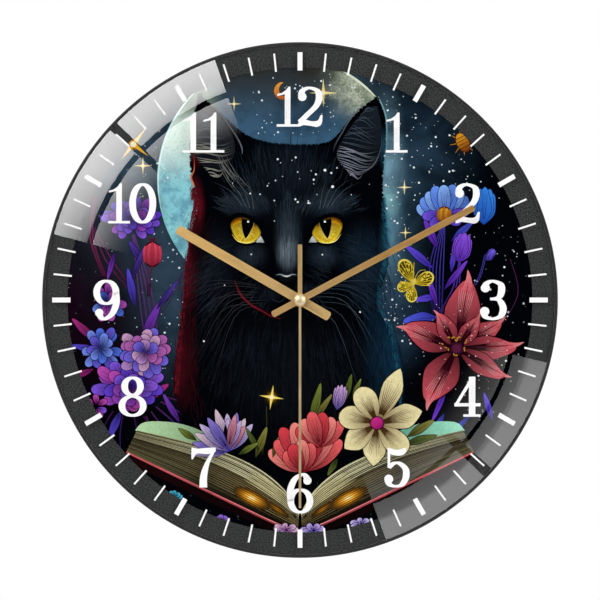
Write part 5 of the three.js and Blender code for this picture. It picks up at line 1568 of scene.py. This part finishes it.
RIB_START = 44 * MM
RIB_COUNT = 8
ribs = []
for k in range(RIB_COUNT):
    low = (RIB_START, -shell_rear, -RIB_WIDTH / 2)
    high = (RIB_RING - RIB_WIDTH / 2, -SHELL_BACK, RIB_WIDTH / 2)
    turn = math.radians((k + 0.5) * 360 / RIB_COUNT)
    ribs.append(rounded_block(f"shell_rib_{k + 1}", low, high, 0.25 * MM, turn, black_abs))
select_only(ribs[0])
for rib in ribs:
    rib.select_set(True)
bpy.ops.object.join()
ribs[0].name = "shell_ribs"
declare(ribs[0], "root", "shell_plastic", "back_shell")
print("ribs", len(ribs[0].data.polygons), "faces")

# %% [markdown]
# ## The hands
# Each hand is stamped from aluminium sheet, brushed along its length, anodised gold, and has
# its edges chamfered. A rectangle gets rounded corners and its thickness, its front edge is
# bevelled, and the hole for the pipe is drilled through it. The hub is turned separately.
# %% Hand blades

HANDS = {
    "hour": {"node": "hour_hand", "length": 82.0, "tail": 19.7, "width": 5.4, "angle": 300,
    "gold": "#f6cb82", "corner": 1.6},
    "minute": {"node": "minute_hand", "length": 114.0, "tail": 18.2, "width": 3.7, "angle": 62,
    "gold": "#dcac68", "corner": 1.3},
}


def blade(name, node, body, length, tail, width, angle, front, material, chamfer, corner, bore=0.0):
    """A flat bar with rounded corners along +z, bored for its pipe, then turned to its hour."""
    bpy.ops.object.select_all(action="DESELECT")
    bpy.ops.mesh.primitive_plane_add(size=1, rotation=(math.pi / 2, 0, 0))
    piece = bpy.context.active_object
    piece.name = piece.data.name = name
    bpy.ops.object.transform_apply(location=False, rotation=True, scale=False)
    for vertex in piece.data.vertices:
        vertex.co = (vertex.co.x * width * MM, front + HAND_SHEET,
            (length if vertex.co.z > 0 else -tail) * MM)
    bpy.ops.object.mode_set(mode="EDIT")
    bpy.ops.mesh.select_all(action="SELECT")
    bpy.ops.mesh.bevel(offset=corner * MM, segments=6, affect="VERTICES")
    bpy.ops.mesh.select_all(action="SELECT")
    bpy.ops.mesh.extrude_region_move(TRANSFORM_OT_translate={"value": (0, -HAND_SHEET, 0)})
    bpy.ops.mesh.select_all(action="SELECT")
    bpy.ops.mesh.normals_make_consistent(inside=False)
    bpy.ops.mesh.select_mode(type="EDGE")
    bpy.ops.mesh.select_all(action="DESELECT")
    bpy.ops.object.mode_set(mode="OBJECT")
    for edge in piece.data.edges:
        edge.select = all(abs(piece.data.vertices[v].co.y - front) < 1e-7 for v in edge.vertices)
    bpy.ops.object.mode_set(mode="EDIT")
    bpy.ops.mesh.bevel(offset=chamfer * MM, segments=1, affect="EDGES")
    bpy.ops.mesh.select_mode(type="VERT")
    bpy.ops.object.mode_set(mode="OBJECT")
    if bore:
        bpy.ops.object.select_all(action="DESELECT")
        bpy.ops.mesh.primitive_cylinder_add(
            vertices=64, radius=bore * MM, depth=4 * HAND_SHEET, rotation=(math.pi / 2, 0, 0),
            location=(0, front + HAND_SHEET / 2, 0),
        )
        drill = bpy.context.active_object
        select_only(piece)
        cut = piece.modifiers.new("bore", "BOOLEAN")
        cut.object, cut.operation, cut.solver = drill, "DIFFERENCE", "EXACT"
        bpy.ops.object.modifier_apply(modifier=cut.name)
        bpy.data.objects.remove(drill)
    piece.data.transform(Matrix.Rotation(math.radians(angle), 4, "Y"))
    bpy.ops.object.shade_smooth_by_angle(angle=math.radians(20))
    piece.data.materials.append(material)
    declare(piece, body, "hand_metal", node)
    print(name, len(piece.data.polygons), "faces")


HAND_SHEET = 0.5 * MM
HUB_BEVEL = 0.25 * MM
HUB_SIZES = {"hour": (3.4, 2.7), "minute": (2.6, 1.9)}
for which, spec in HANDS.items():
    node, body = spec["node"], which + "s"
    front, back = (corner.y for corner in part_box(node))
    sheet_front = (front + back) / 2 - HAND_SHEET / 2
    gold = brushed_metal(f"{which}_hand_gold", spec["gold"], 0.42, math.radians(-spec["angle"]))
    outer, bore = HUB_SIZES[which]
    blade(
        f"{which}_hand_blade", node, body, spec["length"], spec["tail"], spec["width"], spec["angle"],
        sheet_front, gold, 0.22, spec["corner"], bore,
    )
    hub_profile = [
        (bore * MM, -back), (outer * MM, -back), (outer * MM, -front - HUB_BEVEL),
        (outer * MM - HUB_BEVEL, -front), (bore * MM, -front),
    ]
    turned_piece(f"{which}_hand_hub", hub_profile, 64, gold, body, "hand_metal", node)

# %% Second hand and its cap

second_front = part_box("second_hand")[0].y
second_gold = brushed_metal("second_hand_gold", "#e3bc79", 0.4, math.pi)
# Painted highlight: the thin pointer gets a paler copy of the tail's gold, standing in for the light its
# edges catch.
pointer_highlight_gold = brushed_metal("second_pointer_painted_highlight_gold", "#ecd2a4", 0.4, math.pi)
for name, length, tail, width, gold, chamfer in (
    ("second_hand_pointer", 120.0, 1.0, 1.4, pointer_highlight_gold, 0.15),
    ("second_hand_tail", 1.0, 32.0, 2.5, second_gold, 0.2),
):
    blade(name, "second_hand", "seconds", length, tail, width, 180, second_front, gold, chamfer, 0.4)

cap_low, cap_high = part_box("second_hand_cap")
CAP_RADIUS = cap_high.x
cap_profile = [(0.0, -cap_high.y), (CAP_RADIUS - 0.2 * MM, -cap_high.y),
    (CAP_RADIUS, -cap_high.y + 0.2 * MM),
               (CAP_RADIUS, -cap_high.y + 0.5 * MM)]
for step in range(1, 13):
    angle = math.radians(7.5 * step)
    rise = 0.5 * MM + (cap_high.y - cap_low.y - 0.5 * MM) * math.sin(angle)
    cap_profile.append((CAP_RADIUS * 0.94 * math.cos(angle), -cap_high.y + rise))
cap_profile[-1] = (0.0, -cap_low.y)
cap_brass = turned_metal("polished_brass_cap", "#f8e4b8", 0.46)
turned_piece("second_hand_cap_dome", cap_profile, 64, cap_brass, "seconds", "brass", "second_hand_cap")

# %% [markdown]
# ## Foam pads
# Two round pads cut from closed-cell foam keep the clock parallel to the wall. Foam cut with
# a punch bulges slightly at its waist and pulls in at its ends.
# %% Wall pads

foam = cut_foam("charcoal_eva_foam", "#2b2b2e")
for side in ("left", "right"):
    low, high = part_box("wall_pad_" + side)
    radius = (high.x - low.x) / 2
    bpy.ops.object.select_all(action="DESELECT")
    bpy.ops.mesh.primitive_cylinder_add(
        vertices=64, radius=radius * 0.97, depth=high.y - low.y, location=(low + high) / 2,
        rotation=(math.pi / 2, 0, 0)
    )
    pad = bpy.context.active_object
    pad.name = pad.data.name = "foam_pad_" + side
    bpy.ops.object.transform_apply(location=True, rotation=True, scale=True)
    bpy.ops.object.mode_set(mode="EDIT")
    middle = (low + high) / 2
    for cut in range(1, 6):
        level = low.y + (high.y - low.y) * cut / 6
        bpy.ops.mesh.select_all(action="SELECT")
        bpy.ops.mesh.bisect(plane_co=(0, level, 0), plane_no=(0, 1, 0))
    bpy.ops.object.mode_set(mode="OBJECT")
    for vertex in pad.data.vertices:
        share = (vertex.co.y - low.y) / (high.y - low.y)
        swell = 1 + 0.035 * math.sin(math.pi * share)
        vertex.co.x = middle.x + (vertex.co.x - middle.x) * swell
        vertex.co.z = middle.z + (vertex.co.z - middle.z) * swell
    rim_bevel = pad.modifiers.new("rim", "BEVEL")
    rim_bevel.width = 0.5 * MM
    rim_bevel.segments = 3
    rim_bevel.limit_method = "ANGLE"
    rim_bevel.angle_limit = math.radians(60)
    bpy.ops.object.modifier_apply(modifier="rim")
    bpy.ops.object.shade_smooth_by_angle(angle=math.radians(40))
    pad.data.materials.append(foam)
    declare(pad, "root", "grey_foam", "wall_pad_" + side)
    print(pad.name, len(pad.data.polygons), "faces")

# %% [markdown]
# ## The battery
# A plain AA cell: a printed sleeve shrunk over a steel can, rolled in at both ends, with a
# steel nub. It is spun about its own axis, so the profile is drawn along x.
# %% Battery cell


def cell_sleeve():
    """Shrink sleeve: slate blue with a black band at the flat end, bare steel at both faces."""
    material, tree, shader = start_material("cell_sleeve", "#46525e", 0.32)
    place = object_coordinates(tree)
    along = add_node(tree, "ShaderNodeSeparateXYZ", links={"Vector": place}).outputs["X"]
    grain = noise(tree, place, 3.0, 3.0)
    sleeve = blend_colours(tree, fit_range(tree, grain, 0.3, 0.7), colour("#34424f"), colour("#44576a"))
    band_share = fit_range(tree, along, -13.1, -12.9, 1.0, 0.0)
    sleeve = blend_colours(tree, band_share, sleeve, colour("#141416"))
    line = calculate(tree, "COMPARE", along, -11.6, 0.35)
    sleeve = blend_colours(tree, line, sleeve, colour("#c9a24a"))
    steel = calculate(tree, "GREATER_THAN", calculate(tree, "ABSOLUTE", along), 24.75)
    bare = calculate(tree, "MAXIMUM", steel, calculate(tree, "GREATER_THAN", along, 23.7))
    tree.links.new(blend_colours(tree, bare, sleeve, colour("#b9bcc0")), shader.inputs["Base Color"])
    tree.links.new(bare, shader.inputs["Metallic"])
    return material


battery_low, battery_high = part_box("battery")
cell_axis = (battery_low + battery_high) / 2
cell_radius = (battery_high.z - battery_low.z) / 2
shoulder = battery_high.x - 1.3 * MM
cell_points = [
    (battery_low.x + 0.15 * MM, 0.0), (battery_low.x + 0.15 * MM, cell_radius - 1.6 * MM),
    (battery_low.x, cell_radius - 1.2 * MM),
    (battery_low.x + 0.1 * MM, cell_radius - 0.4 * MM), (battery_low.x + 0.6 * MM, cell_radius),
    (shoulder - 0.6 * MM, cell_radius),
    (shoulder - 0.1 * MM, cell_radius - 0.4 * MM), (shoulder, cell_radius - 1.0 * MM),
    (shoulder - 0.2 * MM, cell_radius - 1.5 * MM),
    (shoulder - 0.2 * MM, 2.9 * MM), (battery_high.x - 0.3 * MM, 2.7 * MM), (battery_high.x, 2.4 * MM),
    (battery_high.x, 0.0),
]
cell_line = [(x, cell_axis.y, cell_axis.z + r) for x, r in cell_points]
cell_edges = [(i, i + 1) for i in range(len(cell_line) - 1)]
sleeve = cell_sleeve()
turn_centre = (0, cell_axis.y, cell_axis.z)
cell = spun("battery_cell", cell_line, cell_edges, 72, turn_centre, (1, 0, 0), 35, sleeve)
declare(cell, "battery_body", "battery_wrap", "battery")

# %% [markdown]
# ## Loaded pieces that keep their mesh
# The movement's own pieces are right as they are. Each gets the finish of its real material,
# found from the slot that the record gives it.
# %% Finish the loaded nodes

zinc = brushed_metal("zinc_plated_steel", "#b9bcc0", 0.34)
FINISHES = {
    "shell_plastic": black_abs,
    "case_plastic": moulded_plastic("black_polystyrene_case", "#1b1c1e", 0.5, 0.45, 0.03),
    "printed_card": ink_material,
    "lens_glass": float_glass,
    "foam_tape": cut_foam("white_foam_tape", "#d8d5cc"),
    "rubber": moulded_plastic("black_rubber", "#1a1a1b", 0.85, 0.5, 0.03),
    "grey_foam": foam,
    "hand_metal": second_gold,
    "brass": turned_metal("turned_brass", "#c39a55", 0.28),
    "black_steel": turned_metal("black_oxide_steel", "#1b1b1c", 0.4),
    "zinc_steel": zinc,
    "soft_iron": brushed_metal("annealed_iron", "#8f9296", 0.45),
    "magnet": moulded_plastic("sintered_magnet", "#3b3c40", 0.5, 0.3, 0.01),
    "white_nylon": moulded_plastic("natural_nylon", "#dcd8cc", 0.45, 0.5, 0.01),
    "red_nylon": moulded_plastic("red_nylon", "#a83a34", 0.42, 0.5, 0.01),
    "blue_nylon": moulded_plastic("blue_nylon", "#3f6ea6", 0.42, 0.5, 0.01),
    "copper_wire": brushed_metal("enamelled_copper", "#b4632f", 0.35, math.pi / 2, 0.12),
    "circuit_board": moulded_plastic("green_solder_mask", "#1f5a3a", 0.35, 0.8, 0.01),
    "black_resin": moulded_plastic("potting_resin", "#101012", 0.3, 0.9, 0.02),
    "battery_wrap": sleeve,
}
slot_of = {row["node"]: row["material_slot"] for row in frame["record"]["subparts"]}
for name, node_object in frame["nodes"].items():
    node_object.data.materials.clear()
    node_object.data.materials.append(FINISHES[slot_of[name]])
print("finished", len(frame["nodes"]), "loaded nodes")

# %% [markdown]
# ## Studio
# A pale floor well below the clock, soft lamps in front and above, and a sky that is white to
# the camera. The four bright bars in the glass are the images of curved strip lights in front
# of the dial: the mirror law gives where each must stand for its image to fall at a chosen
# radius on the dome. Each strip's brightness changes from its inner edge to its outer one.
# %% Floor and sky

bpy.ops.object.select_all(action="DESELECT")
bpy.ops.mesh.primitive_circle_add(vertices=96, radius=0.75, fill_type="NGON", location=(0, 0.25, -0.33))
floor = bpy.context.active_object
floor.name = "floor"
floor.data.materials.append(start_material("pale_floor", "#f2f1ef", 0.8)[0])

world = bpy.data.worlds.new("studio")
scene.world = world
world.use_nodes = True
sky_tree = world.node_tree
ray = add_node(sky_tree, "ShaderNodeLightPath")
aim = add_node(sky_tree, "ShaderNodeTexCoord").outputs["Generated"]
forward = add_node(sky_tree, "ShaderNodeSeparateXYZ", links={"Vector": aim}).outputs["Y"]
studio_walls = fit_range(sky_tree, forward, -0.9, -0.55, 0.0, 0.75)
ambient = 0.55
strength = add_node(
    sky_tree,
    "ShaderNodeMix",
    {2: ambient},
    {0: ray.outputs["Is Glossy Ray"], 3: studio_walls},
    data_type="FLOAT",
)
seen = add_node(
    sky_tree,
    "ShaderNodeMix",
    {3: 1.0},
    {0: ray.outputs["Is Camera Ray"], 2: strength.outputs[0]},
    data_type="FLOAT",
)
sky_tree.links.new(seen.outputs[0], sky_tree.nodes["Background"].inputs["Strength"])
sky_tree.nodes["Background"].inputs["Color"].default_value = (1, 1, 1, 1)

# %% Lamps


def soft_lamp(name, place, power, size):
    """A square area lamp aimed at the clock."""
    data = bpy.data.lights.new(name, "AREA")
    data.energy = power
    data.size = size
    lamp = bpy.data.objects.new(name, data)
    scene.collection.objects.link(lamp)
    lamp.location = place
    lamp.rotation_euler = (-Vector(place)).to_track_quat("-Z", "Y").to_euler()
    return lamp


soft_lamp("key_lamp", (-1.5, -1.6, 1.2), 26, 1.0)
soft_lamp("fill_lamp", (1.6, -1.6, 0.6), 20, 1.0)
soft_lamp("rear_lamp", (0.8, 1.8, 1.4), 18, 1.0)

# %% Strip lights and their images in the glass

STRIP_DISTANCE = 1.0
IMAGE_INNER, IMAGE_OUTER = 101.0, 148.6
RAMP_DEGREES = 18.0


def strip_radius(radius_mm):
    """How far off the axis a strip must stand to be seen at that radius of the dome."""
    radius = radius_mm * MM
    slope = math.atan(4 * GLASS_RISE * radius ** 3 / GLASS_RADIUS ** 4)
    return radius + STRIP_DISTANCE * math.tan(2 * slope + math.atan(radius / VIEW_DISTANCE))


def strip_glow(name, strength):
    material = bpy.data.materials.new(name)
    material.use_nodes = True
    tree = material.node_tree
    tree.nodes.remove(tree.nodes["Principled BSDF"])
    fade = add_node(tree, "ShaderNodeAttribute", attribute_name="fade")
    power = calculate(tree, "MULTIPLY", fade.outputs["Fac"], strength)
    glow = add_node(tree, "ShaderNodeEmission", links={"Strength": power})
    tree.links.new(glow.outputs[0], tree.nodes["Material Output"].inputs["Surface"])
    return material


def strip_light(name, first, last, inner_mm, outer_mm, strength, profile, ramp):
    """A ring-shaped strip between two clockwise angles. The profile gives its brightness from
    its inner edge to its outer one; the ramp dims its first degrees."""
    vertices, faces, fade = [], [], []
    turns, rings = 40, 16
    for i in range(turns + 1):
        angle = math.radians(90 - (first + (last - first) * i / turns))
        for k in range(rings + 1):
            share = k / rings
            radius = strip_radius(inner_mm + (outer_mm - inner_mm) * share)
            vertices.append((radius * math.cos(angle), -GLASS_EDGE - STRIP_DISTANCE,
                radius * math.sin(angle)))
            along = min((last - first) * i / turns / RAMP_DEGREES, 1.0)
            fade.append(profile(share) * (1 - (1 - along) * ramp * (1 - 0.6 * share)))
    for i in range(turns):
        for k in range(rings):
            a = i * (rings + 1) + k
            faces.append((a, a + 1, a + rings + 2, a + rings + 1))
    mesh = bpy.data.meshes.new(name)
    mesh.from_pydata(vertices, [], faces)
    mesh.attributes.new("fade", "FLOAT", "POINT").data.foreach_set("value", fade)
    mesh.materials.append(strip_glow(name, strength))
    strip = linked_object(name, mesh)
    strip.visible_camera = strip.visible_diffuse = strip.visible_shadow = False
    strip.visible_transmission = False


def rising(share):
    return 0.45 + 0.58 * share ** 0.5


def stepped(share):
    return 0.42 + 0.4 * share if share < 0.46 else 1.0


def fading(share):
    return share ** 1.6


for name, first, last, bright, shape, outer_from, inner_to, ramp in (
    ("strip_upper_a", 285.0, 311.8, 10.0, rising, 128.0, 124.6, 0.7),
    ("strip_upper_b", 314.0, 340.5, 10.1, rising, 128.0, 124.6, 0.0),
    ("strip_lower_a", 104.3, 131.3, 3.0, stepped, 127.6, 125.0, 0.25),
    ("strip_lower_b", 133.8, 160.3, 3.0, stepped, 125.6, 122.8, 0.0),
):
    inner_bright = bright * (0.45 if shape is rising else 0.35)
    strip_light(name + "_outer", first, last, outer_from, IMAGE_OUTER, bright, shape, ramp)
    strip_light(name + "_inner", first, last, IMAGE_INNER, inner_to, inner_bright, fading, ramp * 1.1)
print("studio ready")
